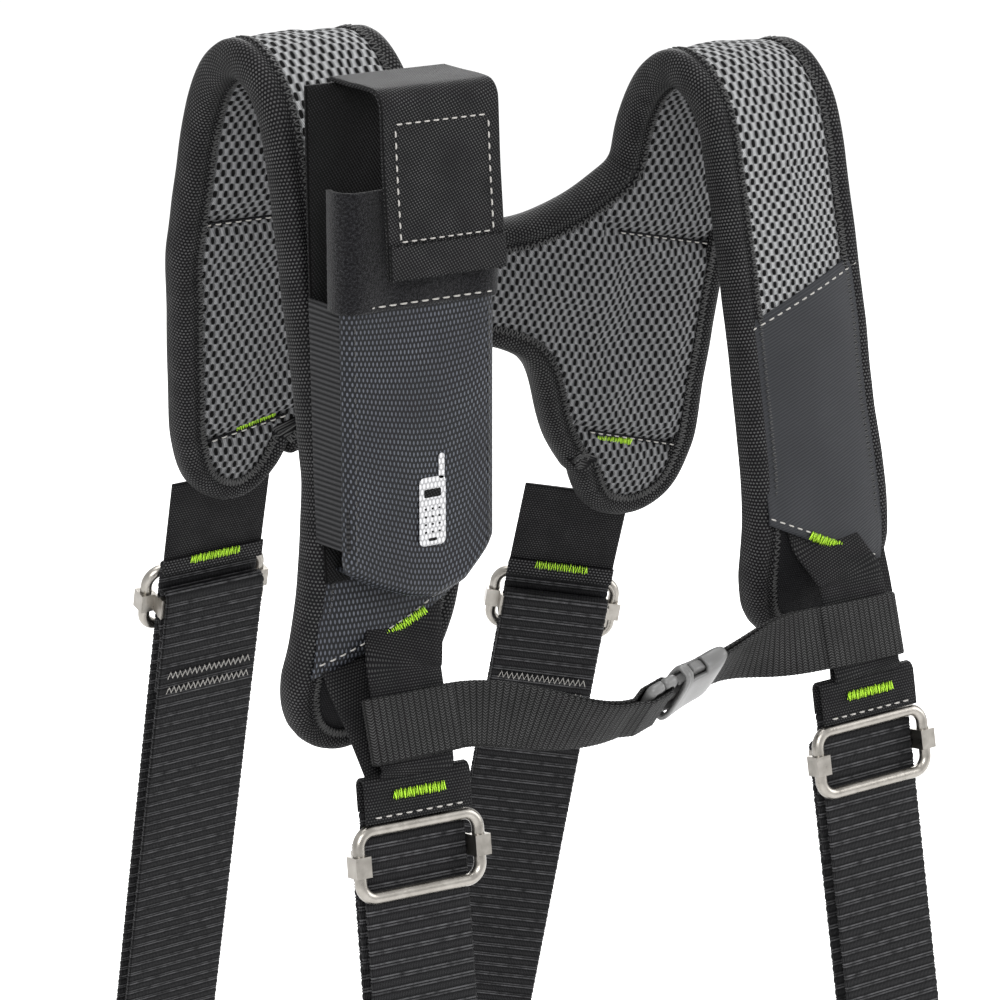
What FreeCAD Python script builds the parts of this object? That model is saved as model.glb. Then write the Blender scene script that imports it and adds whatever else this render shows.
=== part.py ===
import FreeCAD, Part
import math
import os

# Padded shoulder braces that carry a tool belt: two shoulder pads joined by a back yoke,
# a phone pocket on the left pad, a chest strap with a side-release buckle, and four
# adjustable webbing straps that end in belt loops.
# Millimetres. +Z is up, +Y is the wearer's back.  Left and right in the names are as seen
# from the front, so right is +X.  The origin lies midway between the two shoulder pads.

os.makedirs("parts", exist_ok=True)
V = FreeCAD.Vector
LEFT = -1
RIGHT = 1
SIDES = {"left": LEFT, "right": RIGHT}

# ---- driving dimensions: the padded body --------------------------------------------
PAD_INNER_X = 61.0        # inner edge of each shoulder pad
PAD_OUTER_X = 114.0       # outer edge of each shoulder pad
SHOULDER_DROP = 20.0      # how much lower the right pad sits than the left, over the shoulder
BACK_DROP = 32.0          # and at the foot of its back end
YOKE_DROP = 26.0          # and where the yoke joins it
LINING = 2.0              # spacer mesh on the wearer's side
FOAM = 6.0                # foam core
COVER = 2.0               # outer fabric
TAPE = 1.3                # edge binding tape, around the edge of the stack
TAPE_FACE = 7.0           # how far the tape reaches in over the faces
SKIN_IN = -(FOAM / 2 + LINING)
SKIN_OUT = FOAM / 2 + COVER

# side view of the pad's middle surface, front foot to back foot, as (y, z)
PAD_LINE = [(-38, -212), (-49, -170), (-45, -120), (-35, -66), (-26, -24), (-15, 4), (2, 13),
            (20, 5), (34, -22), (47, -66), (58, -110), (68, -153)]
PAD_TOP = 13.0
FRONT_FADE_TOP = -20.0    # the drop fades out down the front between these heights
FRONT_FADE_LOW = -170.0
FRONT_LOW = -212.0        # foot of the front and of the back of a pad
BACK_LOW = -154.0
YOKE_TOP = [(61, -20), (47, -33), (33, -42), (0, -50), (-33, -42), (-47, -33), (-61, -20)]
YOKE_LOW = [(61, -141), (48, -124), (36, -99), (0, -92), (-36, -99), (-48, -124), (-61, -141)]
BACK_FOOT_OUTER = {LEFT: 105.0, RIGHT: 113.0}     # outer edge at the foot of the back
SEAM_LOW = (-156.0, -182.0)    # lower front seam: height at the inner and the outer edge
SEAM_HIGH = (-80.0, -56.0)     # upper front seam, where mesh meets the plain panel

# ---- driving dimensions: webbing, sliders and rings ----------------------------------
WEB = 40.0                # width of the strap webbing
WEB_T = 1.6               # its thickness over the ribs
WIRE = 4.2                # diameter of the slider and ring wire
FRAME_IN = 42.0           # clear width inside the wire frames
SLIDER_PITCH = 22.5       # distance between the slider's two wire bars
RING_PITCH = 24.0         # distance between the ring's two wire bars
SLIDER_CORNER = 5.5       # corner radius of the slider's wire
RING_CORNER = 3.4         # corner radius of the ring's wire, tight enough to clear the webbing
GAP = 0.3                 # running gap between parts of different bodies
STUB_T = 1.5              # plain webbing sewn to the pads
FOLD_LENGTH = 36.0        # how far the folded-over end hangs below the slider's middle
BELT_SLOT = (10.0, 54.0)   # depth and height of the slot for a 50 mm belt

# each strap: centre of its slider, centre of its ring's upper bar, and its twist about Z
STRAPS = {
    "front_left": (V(-94, -75, -242), V(-99, -104, -410), 0.0),
    "front_right": (V(94, -75, -242), V(99, -104, -410), 0.0),
    "back_left": (V(-78, 92, -198), V(-70, 156, -410), 0.0),
    "back_right": (V(76, 97, -231), V(66, 136, -410), -28.0),
}

# ---- driving dimensions: pocket, chest strap and buckle ------------------------------
POCKET_X = (-117.0, -60.0)
POCKET_FRONT_Y = -73.0
POCKET_BACK = [(-56.3, -150), (-52.0, -112), (-48.5, -60), (-47.0, 10)]    # middle of its back wall
POCKET_Z = (-150.0, -18.0)
CLOTH = 1.6                    # thickness of the pocket's walls
LOOP_STRIP_LOW = -57.0
FLAP_X = (-106.0, -62.0)
FLAP_TOP = 14.0
FLAP_LOW = -46.0
CHEST_Z = -198.0               # height of the chest strap where it is held
CHEST_WEB = 22.0
CHEST_T = 1.3
BUCKLE_AT = (11.3, -75.0, -204.5)    # middle of the buckle, at the strap's low point
BUCKLE_RISE = 12.0             # its socket end is the higher one
BUCKLE_YAW = 9.0               # and the one further back
BUCKLE_LEAN = 40.0             # how far its upper edge leans forwards
BUCKLE_L = 38.0                # over the socket and the bars of the pushed-in plug
BUCKLE_H = 28.0
BUCKLE_D = 8.0


def save(name, shape):
    shape.exportStep("parts/" + name + ".step")


def box(x0, x1, y0, y1, z0, z1):
    return Part.makeBox(x1 - x0, y1 - y0, z1 - z0, V(x0, y0, z0))


def rod(radius, start, end):
    return Part.makeCylinder(radius, (end - start).Length, start, end - start)


def spline(points):
    curve = Part.BSplineCurve()
    curve.interpolate(points)
    return curve


# ---- the padded body -----------------------------------------------------------------
def back_drop(side, z):
    """How far a point on the back of a pad is lowered on this side."""
    if side == LEFT:
        return 0.0
    return SHOULDER_DROP + (BACK_DROP - SHOULDER_DROP) * (PAD_TOP - z) / (PAD_TOP - BACK_LOW)


def front_drop(side, z):
    """The same on the front, where the drop fades out towards the foot."""
    if side == LEFT:
        return 0.0
    share = (z - FRONT_FADE_LOW) / (FRONT_FADE_TOP - FRONT_FADE_LOW)
    return SHOULDER_DROP * max(0.0, min(1.0, share))


def pad_line(side):
    """Middle surface of one pad seen from the side, with that side's drop applied."""
    points = []
    for y, z in PAD_LINE:
        drop = front_drop(side, z) if y < 0 else back_drop(side, z)
        points.append(V(0, y, z - drop))
    return spline(points)


def offset_line(curve, distance, samples=25):
    """The same line moved outwards, away from the wearer, by a distance."""
    first, last = curve.FirstParameter, curve.LastParameter
    points = []
    for i in range(samples):
        u = first + (last - first) * i / (samples - 1)
        along = curve.tangent(u)[0]
        points.append(curve.value(u) + V(0, -along.z, along.y) * distance)
    return spline(points)


def layer(side, t_in, t_out, x0, sweep):
    """A slab of the pad between two depths, swept sideways from x0."""
    line = pad_line(side)
    inner = offset_line(line, t_in).toShape()
    outer = offset_line(line, t_out).toShape()
    ends = [Part.makeLine(inner.Vertexes[i].Point, outer.Vertexes[i].Point) for i in (0, 1)]
    face = Part.Face(Part.Wire(Part.__sortEdges__([inner, outer] + ends)))
    face.translate(V(x0, 0, 0))
    return face.extrude(sweep)


def tongue(side, inner, outer, foot_outer, low, grow):
    """Outline of one end of a pad in the XZ plane: straight sides and a rounded foot."""
    high = 60.0
    slant = grow * 0.7
    inner_x, outer_x, foot_x = inner - grow, outer + grow, foot_outer + grow
    inner_low = V(side * inner_x, 0, low + 22)
    foot_in = V(side * (inner + 10 - slant), 0, low + 5 - slant)
    foot = V(side * (inner + foot_outer) / 2, 0, low - grow)
    foot_out = V(side * (foot_outer - 9 + slant), 0, low + 6 - slant)
    outer_low = V(side * foot_x, 0, low + 25)
    outer_mid = V(side * outer_x, 0, low + 95)
    inner_high = V(side * inner_x, 0, high)
    outer_high = V(side * outer_x, 0, high)
    foot_edge = spline([inner_low, foot_in, foot, foot_out, outer_low]).toShape()
    edges = [Part.makeLine(inner_high, inner_low), foot_edge,
             Part.makeLine(outer_low, outer_mid), Part.makeLine(outer_mid, outer_high),
             Part.makeLine(outer_high, inner_high)]
    return Part.Wire(edges)


def front_outline(side, grow):
    return tongue(side, PAD_INNER_X, PAD_OUTER_X, 124.0, FRONT_LOW, grow)


def back_outline(side, grow):
    low = BACK_LOW - back_drop(side, BACK_LOW)
    return tongue(side, PAD_INNER_X, PAD_OUTER_X, BACK_FOOT_OUTER[side], low, grow)


def prism(wire, y0, y1):
    face = Part.Face(wire)
    face.translate(V(0, y0, 0))
    return face.extrude(V(0, y1 - y0, 0))


def pad_prism(side, grow):
    """Cutter that gives a pad its outline; grow moves the whole edge in or out."""
    return prism(front_outline(side, grow), -150, 0).fuse(prism(back_outline(side, grow), 0, 150))


def pad_slab(side, t_in, t_out):
    x0 = min(side * (PAD_INNER_X - 12), side * (PAD_OUTER_X + 14))
    width = PAD_OUTER_X - PAD_INNER_X + 26
    return layer(side, t_in, t_out, x0, V(width, 0, 0))


def pad_layer(side, t_in, t_out):
    return pad_slab(side, t_in, t_out).common(pad_prism(side, 0.0))


def seam_cutter(side, heights, above):
    """Wedge of space above or below a slanting seam on the front of a pad."""
    z_in, z_out = heights
    far = 200.0 if above else -300.0
    x_in, x_out = side * (PAD_INNER_X - 12), side * (PAD_OUTER_X + 14)
    corners = [V(x_in, -150, z_in), V(x_out, -150, z_out), V(x_out, -150, far), V(x_in, -150, far)]
    return Part.Face(Part.makePolygon(corners + corners[:1])).extrude(V(0, 150, 0))


def yoke_shift(x):
    """The yoke's height falls evenly from the left pad to the right pad."""
    return -YOKE_DROP * (x + PAD_INNER_X) / (2 * PAD_INNER_X)


def yoke_edge(points, raise_by=0.0):
    return spline([V(x, 0, z + raise_by + yoke_shift(x)) for x, z in points])


def yoke_region(top, low):
    a, b = top.toShape(), low.toShape()
    ends = [Part.makeLine(a.Vertexes[i].Point, b.Vertexes[i].Point) for i in (0, 1)]
    return prism(Part.Wire(Part.__sortEdges__([a, b] + ends)), 5, 110)


def yoke_layer(t_in, t_out, region):
    slab = layer(LEFT, t_in, t_out, -PAD_INNER_X, V(2 * PAD_INNER_X, 0, -YOKE_DROP))
    return slab.common(region)


def make_pads():
    for name, side in SIDES.items():
        save("foam_core_" + name, pad_layer(side, -FOAM / 2, FOAM / 2))
        save("mesh_lining_" + name, pad_layer(side, SKIN_IN, -FOAM / 2))
        skin = pad_layer(side, FOAM / 2, SKIN_OUT)
        above = seam_cutter(side, SEAM_HIGH, True)
        below = seam_cutter(side, SEAM_LOW, False)
        back_half = box(-200, 200, 0, 200, -300, 100)
        save("mesh_cover_" + name, skin.common(above.fuse(back_half)))
        save("foot_facing_" + name, skin.common(below))
        save("front_panel_" + name, skin.cut(above.fuse(below).fuse(back_half)))
        make_binding(name, side)
    whole = yoke_region(yoke_edge(YOKE_TOP), yoke_edge(YOKE_LOW))
    save("yoke_foam", yoke_layer(-FOAM / 2, FOAM / 2, whole))
    save("yoke_lining", yoke_layer(SKIN_IN, -FOAM / 2, whole))
    save("yoke_cover", yoke_layer(FOAM / 2, SKIN_OUT, whole))
    stack = yoke_layer(SKIN_IN, SKIN_OUT, whole)
    top = yoke_region(yoke_edge(YOKE_TOP, TAPE), yoke_edge(YOKE_TOP, -TAPE_FACE))
    low = yoke_region(yoke_edge(YOKE_LOW, TAPE_FACE), yoke_edge(YOKE_LOW, -TAPE))
    for name, region in (("yoke_binding_top", top), ("yoke_binding_low", low)):
        save(name, yoke_layer(SKIN_IN - TAPE, SKIN_OUT + TAPE, region).cut(stack))


def make_binding(name, side):
    """Tape folded round the pad's edge, left open where the yoke is sewn in."""
    outer_prism = pad_prism(side, TAPE)
    rim = outer_prism.cut(pad_prism(side, -TAPE_FACE))
    edge_rim = outer_prism.cut(pad_prism(side, 0.0))
    root_top, root_low = YOKE_TOP[0][1], YOKE_LOW[0][1]
    x0 = min(side * (PAD_INNER_X - 12), side * (PAD_INNER_X + TAPE_FACE + 1))
    root = box(x0, x0 + TAPE_FACE + 13, 0, 120,
               root_low - back_drop(side, root_low), root_top + 2 * TAPE - back_drop(side, root_top))
    strips = []
    for t_in, t_out, region in ((SKIN_IN - TAPE, SKIN_IN, rim), (SKIN_IN, SKIN_OUT, edge_rim),
                                (SKIN_OUT, SKIN_OUT + TAPE, rim)):
        strips.append(pad_slab(side, t_in, t_out).common(region).cut(root))
    save("edge_binding_" + name, strips[0].multiFuse(strips[1:]))


# ---- webbing and wire ----------------------------------------------------------------
def ribbon(points, thickness, width):
    """Webbing whose middle line runs through points in the YZ plane, centred on X = 0."""
    near, far = [], []
    for i, p in enumerate(points):
        before = points[max(i - 1, 0)]
        after = points[min(i + 1, len(points) - 1)]
        a = (p - before) if i else (after - p)
        b = (after - p) if i < len(points) - 1 else (p - before)
        a.normalize()
        b.normalize()
        side = V(0, -(a.z + b.z), a.y + b.y)
        side.normalize()
        half = thickness / 2 / max(0.5, side.dot(V(0, -a.z, a.y)))
        near.append(p - side * half)
        far.append(p + side * half)
    outline = near + far[::-1]
    face = Part.Face(Part.makePolygon(outline + outline[:1]))
    face.translate(V(-width / 2, 0, 0))
    return face.extrude(V(width, 0, 0))


def arc_points(y, z, radius, start, end, steps=8):
    """Points on an arc in the YZ plane, angles in degrees from +Y."""
    points = []
    for i in range(steps + 1):
        angle = math.radians(start + (end - start) * i / steps)
        points.append(V(0, y + radius * math.cos(angle), z + radius * math.sin(angle)))
    return points


def wire_frame(half_w, half_h, radius, corner):
    """Closed rectangle of round wire in the XZ plane, with rounded corners."""
    edges = []
    bend = corner * math.sqrt(0.5)
    for sx, sz in ((1, 1), (-1, 1), (-1, -1), (1, -1)):
        centre = V(sx * (half_w - corner), 0, sz * (half_h - corner))
        start = centre + V(sx * corner, 0, 0)
        end = centre + V(0, 0, sz * corner)
        middle = centre + V(sx * bend, 0, sz * bend)
        edges.append(Part.Arc(start, middle, end).toShape())
    for sz in (-1, 1):
        edges.append(Part.makeLine(V(corner - half_w, 0, sz * half_h), V(half_w - corner, 0, sz * half_h)))
    for sx in (-1, 1):
        edges.append(Part.makeLine(V(sx * half_w, 0, corner - half_h), V(sx * half_w, 0, half_h - corner)))
    path = Part.Wire(Part.__sortEdges__(edges))
    first = path.Edges[0]
    at = first.valueAt(first.FirstParameter)
    along = first.tangentAt(first.FirstParameter)
    ring = Part.Wire(Part.makeCircle(radius, at, along))
    return path.makePipeShell([ring], True, True)


def strap_placement(slider, ring, twist, outward):
    """Local frame of one strap: X across the webbing, Y away from the wearer, Z up it."""
    up = slider - ring
    up.normalize()
    out = FreeCAD.Rotation(V(0, 0, 1), twist).multVec(V(0, outward, 0))
    across = out.cross(up)
    across.normalize()
    out = up.cross(across)
    turn = FreeCAD.Rotation(across, out, up, "ZXY")
    return FreeCAD.Placement(slider, turn)


HALF_FRAME = FRAME_IN / 2 + WIRE / 2
STRAP_TOP = SLIDER_PITCH / 2 + 17              # top of the strap above the slider's centre
TAPE_LOW = SLIDER_PITCH / 2 + 4                # lower ends of the tapes sewn to the strap
FRAME_Y = WEB_T + GAP + WIRE / 2               # the slider's wire lies outside the webbing
BAR_T = 2.6
BAR_FRONT = -(GAP + WEB_T + 0.1)
BAR_BACK = BAR_FRONT - BAR_T
RETURN_Y = BAR_BACK - 0.2 - WEB_T / 2          # middle of the layer that comes back up
RING_Y = (RETURN_Y + WEB_T / 2) / 2
RING_R = WIRE / 2
RING_LEAD = 4.0                                # straight webbing above the turn round the ring


def standing_strap(length):
    """Outer layer: from the pad down to just short of the ring's bar."""
    middle = WEB_T / 2
    ends = [V(0, middle, STRAP_TOP - 11), V(0, middle, RING_LEAD + GAP - length)]
    return ribbon(ends, WEB_T, WEB)


def return_strap(length):
    """Round the ring's bar, back up on the wearer's side, round the slider's bar, and down."""
    ring_turn = [V(0, WEB_T / 2, RING_LEAD - length)]
    ring_turn += arc_points(RING_Y, -length, WEB_T / 2 - RING_Y, 0, -180)
    bar_turn = arc_points((BAR_FRONT + BAR_BACK) / 2, 4.2, BAR_T / 2 + 0.1 + WEB_T / 2, 180, 0)
    tail_y = RETURN_Y + WEB_T + 0.1
    tail = [V(0, BAR_FRONT + 0.1 + WEB_T / 2, -5), V(0, tail_y, -13), V(0, tail_y, -FOLD_LENGTH)]
    path = ring_turn + [V(0, RETURN_Y, -length + 6), V(0, RETURN_Y, -4)] + bar_turn + tail
    return ribbon(path, WEB_T, WEB)


def slider_bar():
    """Flat centre bar; its ends are folded round the frame's side wires."""
    bar = box(-FRAME_IN / 2, FRAME_IN / 2, BAR_BACK, BAR_FRONT, -4, 4)
    grip = WIRE / 2 + 0.9
    for sx in (-1, 1):
        near, far = sx * (WEB / 2 + 0.2), sx * (HALF_FRAME + grip)
        x0, x1 = min(near, far), max(near, far)
        tab = box(x0, x1, FRAME_Y - grip, FRAME_Y + grip, -3.5, 3.5)
        leg_x = sorted((near, near + sx * 0.9))
        leg = box(leg_x[0], leg_x[1], BAR_BACK, FRAME_Y, -3.5, 3.5)
        wire = rod(WIRE / 2 + 0.02, V(sx * HALF_FRAME, FRAME_Y, -20), V(sx * HALF_FRAME, FRAME_Y, 20))
        bar = bar.fuse(leg.fuse(tab).cut(wire))
    return bar


def belt_loop():
    """Webbing round the ring's lower bar, sewn below it, then open round the belt."""
    half = WEB / 2 - 1
    eye_in, eye_out = RING_R + GAP, RING_R + GAP + WEB_T
    depth, height = BELT_SLOT
    neck_low = -eye_out - 8
    eye = rod(eye_out, V(-half, 0, 0), V(half, 0, 0))
    neck = box(-half, half, -WEB_T, WEB_T, neck_low - WEB_T, 0)
    slot_out = box(-half, half, -depth / 2 - WEB_T, depth / 2 + WEB_T,
                   neck_low - height - 2 * WEB_T, neck_low)
    slot_out = slot_out.makeFillet(3.5, [e for e in slot_out.Edges if is_crosswise(e)])
    slot_in = box(-half - 1, half + 1, -depth / 2, depth / 2,
                  neck_low - height - WEB_T, neck_low - WEB_T)
    slot_in = slot_in.makeFillet(2.0, [e for e in slot_in.Edges if is_crosswise(e)])
    solid = eye.fuse(neck).fuse(slot_out).cut(slot_in)
    return solid.cut(rod(eye_in, V(-half - 1, 0, 0), V(half + 1, 0, 0)))


def is_crosswise(edge):
    a, b = edge.Vertexes[0].Point, edge.Vertexes[1].Point
    return abs(a.y - b.y) < 1e-6 and abs(a.z - b.z) < 1e-6


def make_strap(name, slider, ring, twist):
    outward = -1 if name.startswith("front") else 1
    place = strap_placement(slider, ring, twist, outward)
    length = (slider - ring).Length
    frame = wire_frame(HALF_FRAME, SLIDER_PITCH / 2, WIRE / 2, SLIDER_CORNER)
    frame.translate(V(0, FRAME_Y, 0))
    link = wire_frame(HALF_FRAME, RING_PITCH / 2, WIRE / 2, RING_CORNER)
    link.translate(V(0, RING_Y, -length - RING_PITCH / 2))
    pieces = {"strap_standing_": standing_strap(length), "strap_return_": return_strap(length),
              "slider_frame_": frame, "slider_bar_": slider_bar(), "belt_ring_": link}
    for prefix, shape in pieces.items():
        shape.Placement = place.multiply(shape.Placement)
        save(prefix + name, shape)
    across = place.Rotation.multVec(V(1, 0, 0))
    plumb = V(0, 0, 1) - across * across.z
    plumb.normalize()
    heading = FreeCAD.Rotation(across, plumb.cross(across), plumb, "ZXY")
    loop = belt_loop()
    loop.Placement = FreeCAD.Placement(place.multVec(V(0, RING_Y, -length - RING_PITCH)), heading)
    save("belt_loop_" + name, loop)
    return place


# ---- plain webbing between the pads and the straps -----------------------------------
TAPE_W = 30.0             # width of the two tapes on each front pad
PAD_FACE = SKIN_OUT + TAPE


def tape(points, width, thickness=STUB_T):
    """Flat webbing through points that may also wander sideways."""
    sections = []
    for i, p in enumerate(points):
        along = points[min(i + 1, len(points) - 1)] - points[max(i - 1, 0)]
        out = V(0, -along.z, along.y)
        out.normalize()
        half = V(width / 2, 0, 0)
        lift = out * (thickness / 2)
        corners = [p - half - lift, p + half - lift, p + half + lift, p - half + lift]
        sections.append(Part.makePolygon(corners + corners[:1]))
    return Part.makeLoft(sections, True, True)


def front_rear_tape(side, place):
    """Outer tape: sewn under the outer end of the seam, then down to the strap's face."""
    lie = WEB_T + 0.1 + STUB_T / 2
    bend, end = (place.multVec(V(0, lie, z)) for z in (STRAP_TOP - 1, TAPE_LOW + 2))
    top = V(side * 105, -49 - PAD_FACE - STUB_T / 2 - 0.7, -176)
    return [top, V(side * 95, bend.y, bend.z), V(side * 94, end.y, end.z)]


def front_tape(side, place):
    """Inner tape: it bows out in front of the other, and the chest strap's loop runs on it."""
    lie = WEB_T + 0.2 + 1.5 * STUB_T
    bend, end = (place.multVec(V(0, lie, z)) for z in (STRAP_TOP - 2, TAPE_LOW + 2))
    return [V(side * 86, -58.6, -165), V(side * 92, CHEST_HIGH.y, CHEST_HIGH.z),
            V(side * 93, CHEST_LOW.y, CHEST_LOW.z), V(side * 94, bend.y, bend.z),
            V(side * 94, end.y, end.z)]


CHEST_HIGH = V(0, -66.0, -178)      # the straight stretch of the inner tape
CHEST_LOW = V(0, -76.6, -212)


def back_stub(place, top):
    """Plain webbing that leaves the back pad's foot and lies over the strap's inner face."""
    local_top = place.inverse().multVec(top)
    lie = -(0.1 + STUB_T / 2)
    path = [V(0, local_top.y, local_top.z), V(0, lie, STRAP_TOP - 8), V(0, lie, TAPE_LOW - 2)]
    shape = ribbon(path, STUB_T, WEB)
    shape.Placement = place
    return shape


def bartack(place, x, y, z, length=20.0):
    """A dense bar of zigzag thread lying across the webbing."""
    bar = box(x - length / 2, x + length / 2, y, y + 0.8, z - 1.0, z + 1.0)
    bar.Placement = place.multiply(bar.Placement)
    return bar


def pad_place(x, side, front, height, depth):
    """Local frame on a pad's face at a height; Y points out of that face."""
    line = pad_line(side)
    first, last = line.FirstParameter, line.LastParameter
    middle = (first + last) / 2
    low, high = (first, middle) if front else (last, middle)
    for _ in range(40):
        mid = (low + high) / 2
        if line.value(mid).z < height:
            low = mid
        else:
            high = mid
    up = line.tangent(low)[0]
    if up.z < 0:
        up = up * -1
    towards_back = front == (depth < 0)
    out = V(0, up.z, -up.y) if towards_back else V(0, -up.z, up.y)
    at = line.value(low)
    turn = FreeCAD.Rotation(out.cross(up), out, up, "ZXY")
    return FreeCAD.Placement(V(x, at.y, at.z) + out * abs(depth), turn)


def make_stubs(places):
    tacks = []
    for name, side in SIDES.items():
        front = places["front_" + name]
        back = places["back_" + name]
        save("front_tape_outer_" + name, tape(front_rear_tape(side, front), TAPE_W))
        save("front_tape_inner_" + name, tape(front_tape(side, front), TAPE_W - 2))
        foot = V(side * 84, 76, BACK_LOW - 4 - back_drop(side, BACK_LOW))
        save("back_stub_" + name, back_stub(back, foot))
        over = WEB_T + 2 * STUB_T + 0.25
        tacks.append(bartack(front, 0, over, TAPE_LOW + 7))
        tacks.append(bartack(back, 0, -(STUB_T + 1.0), TAPE_LOW + 2))
        seam = pad_place(side * 88, side, True, -159, SKIN_OUT + 0.1)
        tacks.append(bartack(seam, 0, 0, 0, 18.0))
        mark = -126 - back_drop(side, -126)
        lobe = pad_place(side * 78, side, False, mark, SKIN_IN - 0.1)
        tacks.append(bartack(lobe, 0, 0, 0, 16.0))
    save("bartacks", Part.makeCompound(tacks))


# ---- phone pocket --------------------------------------------------------------------
def pocket_side(x, z_low, z_high, y_front):
    """Side wall between the pocket's front and its sloping back wall."""
    back = [V(0, y - CLOTH / 2, z) for y, z in POCKET_BACK]
    outline = [V(0, y_front, back[0].z)] + back + [V(0, y_front, back[-1].z)]
    face = Part.Face(Part.makePolygon(outline + outline[:1]))
    face.translate(V(x, 0, 0))
    wall = face.extrude(V(CLOTH, 0, 0))
    return wall.common(box(-200, 0, -200, 200, z_low, z_high))


def make_pocket():
    x0, x1 = POCKET_X
    y0 = POCKET_FRONT_Y
    z0, z1 = POCKET_Z
    back = ribbon([V(0, y, z) for y, z in POCKET_BACK], CLOTH, x1 - x0 - 3)
    back.translate(V((x0 + x1) / 2, 0, 0))
    save("pocket_back", back)
    floor = box(x0 + 14, x1, y0, POCKET_BACK[0][0] - CLOTH / 2 - 0.2, z0, z0 + CLOTH)
    front = box(x0, x1, y0, y0 + CLOTH, z0, z1).fuse(floor)
    front = front.fuse(pocket_side(x1 - CLOTH, z0, z1, y0))
    save("pocket_front", front.removeSplitter())
    save("pocket_elastic", pocket_side(x0, z0 + 14, LOOP_STRIP_LOW - 2, y0 + CLOTH))
    save("pocket_loop_strip", box(x0 - 1, x1 + 1, y0 - 1.6, y0, LOOP_STRIP_LOW, z1))
    make_flap(y0 - 1.6 - 1.6 - CLOTH)


def make_flap(y_front):
    """Cover flap, bent over the top of the pocket, with a hook patch inside its front."""
    x0, x1 = FLAP_X
    radius = 6.0
    flare = 4.0
    mid_y, mid_z = y_front + CLOTH / 2, FLAP_TOP - CLOTH / 2
    patch_low, patch_high = FLAP_LOW + 5, -20.0
    path = [V(0, mid_y - flare, FLAP_LOW), V(0, mid_y, mid_z - radius)]
    path += arc_points(mid_y + radius, mid_z - radius, radius, 180, 90, 5)[1:]
    path += [V(0, POCKET_BACK[-1][0] + CLOTH / 2, mid_z)]
    flap = ribbon(path, CLOTH, x1 - x0)
    flap.translate(V((x0 + x1) / 2, 0, 0))
    save("pocket_flap", flap)
    slope = flare / (mid_z - radius - FLAP_LOW)
    face_y = mid_y + CLOTH / 2 + 0.7
    ends = [V(0, face_y - slope * (mid_z - radius - z), z) for z in (patch_low, patch_high)]
    patch = ribbon(ends, 1.1, x1 - x0 - 8)
    patch.translate(V((x0 + x1) / 2, 0, 0))
    save("flap_hook_patch", patch)


# ---- chest strap and buckle ----------------------------------------------------------
def chest_placement():
    """Origin midway between the tapes at chest height, leaning as the inner tapes do."""
    up = CHEST_HIGH - CHEST_LOW
    y = CHEST_LOW.y + up.y * (CHEST_Z - CHEST_LOW.z) / up.z
    up.normalize()
    out = V(0, -up.z, up.y)
    turn = FreeCAD.Rotation(out.cross(up), out, up, "ZXY")
    return FreeCAD.Placement(V(0, y, CHEST_Z), turn)


CHEST_LOOP_X = 92.5


def tape_loop(x):
    """Chest webbing sewn into a flat loop round a tape."""
    half_w = TAPE_W / 2 + 0.4
    half_d = STUB_T / 2 + 0.35
    h = CHEST_WEB / 2
    outer = box(x - half_w - CHEST_T, x + half_w + CHEST_T, -half_d - CHEST_T, half_d + CHEST_T, -h, h)
    inner = box(x - half_w, x + half_w, -half_d, half_d, -h - 1, h + 1)
    return outer.cut(inner)


def buckle_placement():
    """Placement whose X points to the plug's end and Z to the buckle's upper edge."""
    rise, yaw, lean = (math.radians(a) for a in (BUCKLE_RISE, BUCKLE_YAW, BUCKLE_LEAN))
    to_plug = V(-math.cos(rise) * math.cos(yaw), -math.cos(rise) * math.sin(yaw), -math.sin(rise))
    up = V(0, -math.sin(lean), math.cos(lean))
    return FreeCAD.Placement(V(*BUCKLE_AT), FreeCAD.Rotation(to_plug, up.cross(to_plug), up, "XZY"))


def hanging_web(first, second, steps=8):
    """Two layers of webbing that sag and twist from one placed end to the other's.

    Each end is a placement and a distance along its X, which points against the webbing.
    """
    ends = [(place.multVec(V(x, 0, 0)), place.Rotation) for place, x in (first, second)]
    span = ends[0][0].distanceToPoint(ends[1][0])
    p0, p1 = (point for point, _ in ends)
    ups = [turn.multVec(V(0, 0, 1)) for _, turn in ends]
    pulls = [turn.multVec(V(-span, 0, 0)) for _, turn in ends]
    half_h, half_t = CHEST_WEB / 2 - 0.1, CHEST_T + 0.1
    sections = []
    for i in range(steps):
        t = i / (steps - 1)
        ease = t * t * (3 - 2 * t)
        at = p0 * (1 - ease) + p1 * ease + pulls[0] * (t * (1 - t) ** 2) - pulls[1] * (t * t * (1 - t))
        slope = (p1 - p0) * (6 * t * (1 - t)) + pulls[0] * ((1 - t) * (1 - 3 * t)) + pulls[1] * (t * (3 * t - 2))
        out = (ups[0] * (1 - ease) + ups[1] * ease).cross(slope)
        out.normalize()
        up = slope.cross(out)
        up.normalize()
        high, deep = up * half_h, out * half_t
        corners = [at - high - deep, at + high - deep, at + high + deep, at - high + deep]
        sections.append(Part.makePolygon(corners + corners[:1]))
    return Part.makeLoft(sections, True, True)


def make_chest(place):
    loop_edge = CHEST_LOOP_X - TAPE_W / 2 - 0.4 - CHEST_T / 2
    buckle = buckle_placement()
    for name, side in SIDES.items():
        loop = tape_loop(-side * CHEST_LOOP_X)
        loop.Placement = place
        at_loop = (place, -side * loop_edge)
        at_buckle = (buckle, -side * (BUCKLE_L / 2 + 0.3))
        ends = (at_loop, at_buckle) if side == LEFT else (at_buckle, at_loop)
        save("chest_strap_" + name, loop.fuse(hanging_web(*ends)))
    for name, shape in make_buckle().items():
        shape.Placement = buckle.multiply(shape.Placement)
        save(name, shape)


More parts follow.
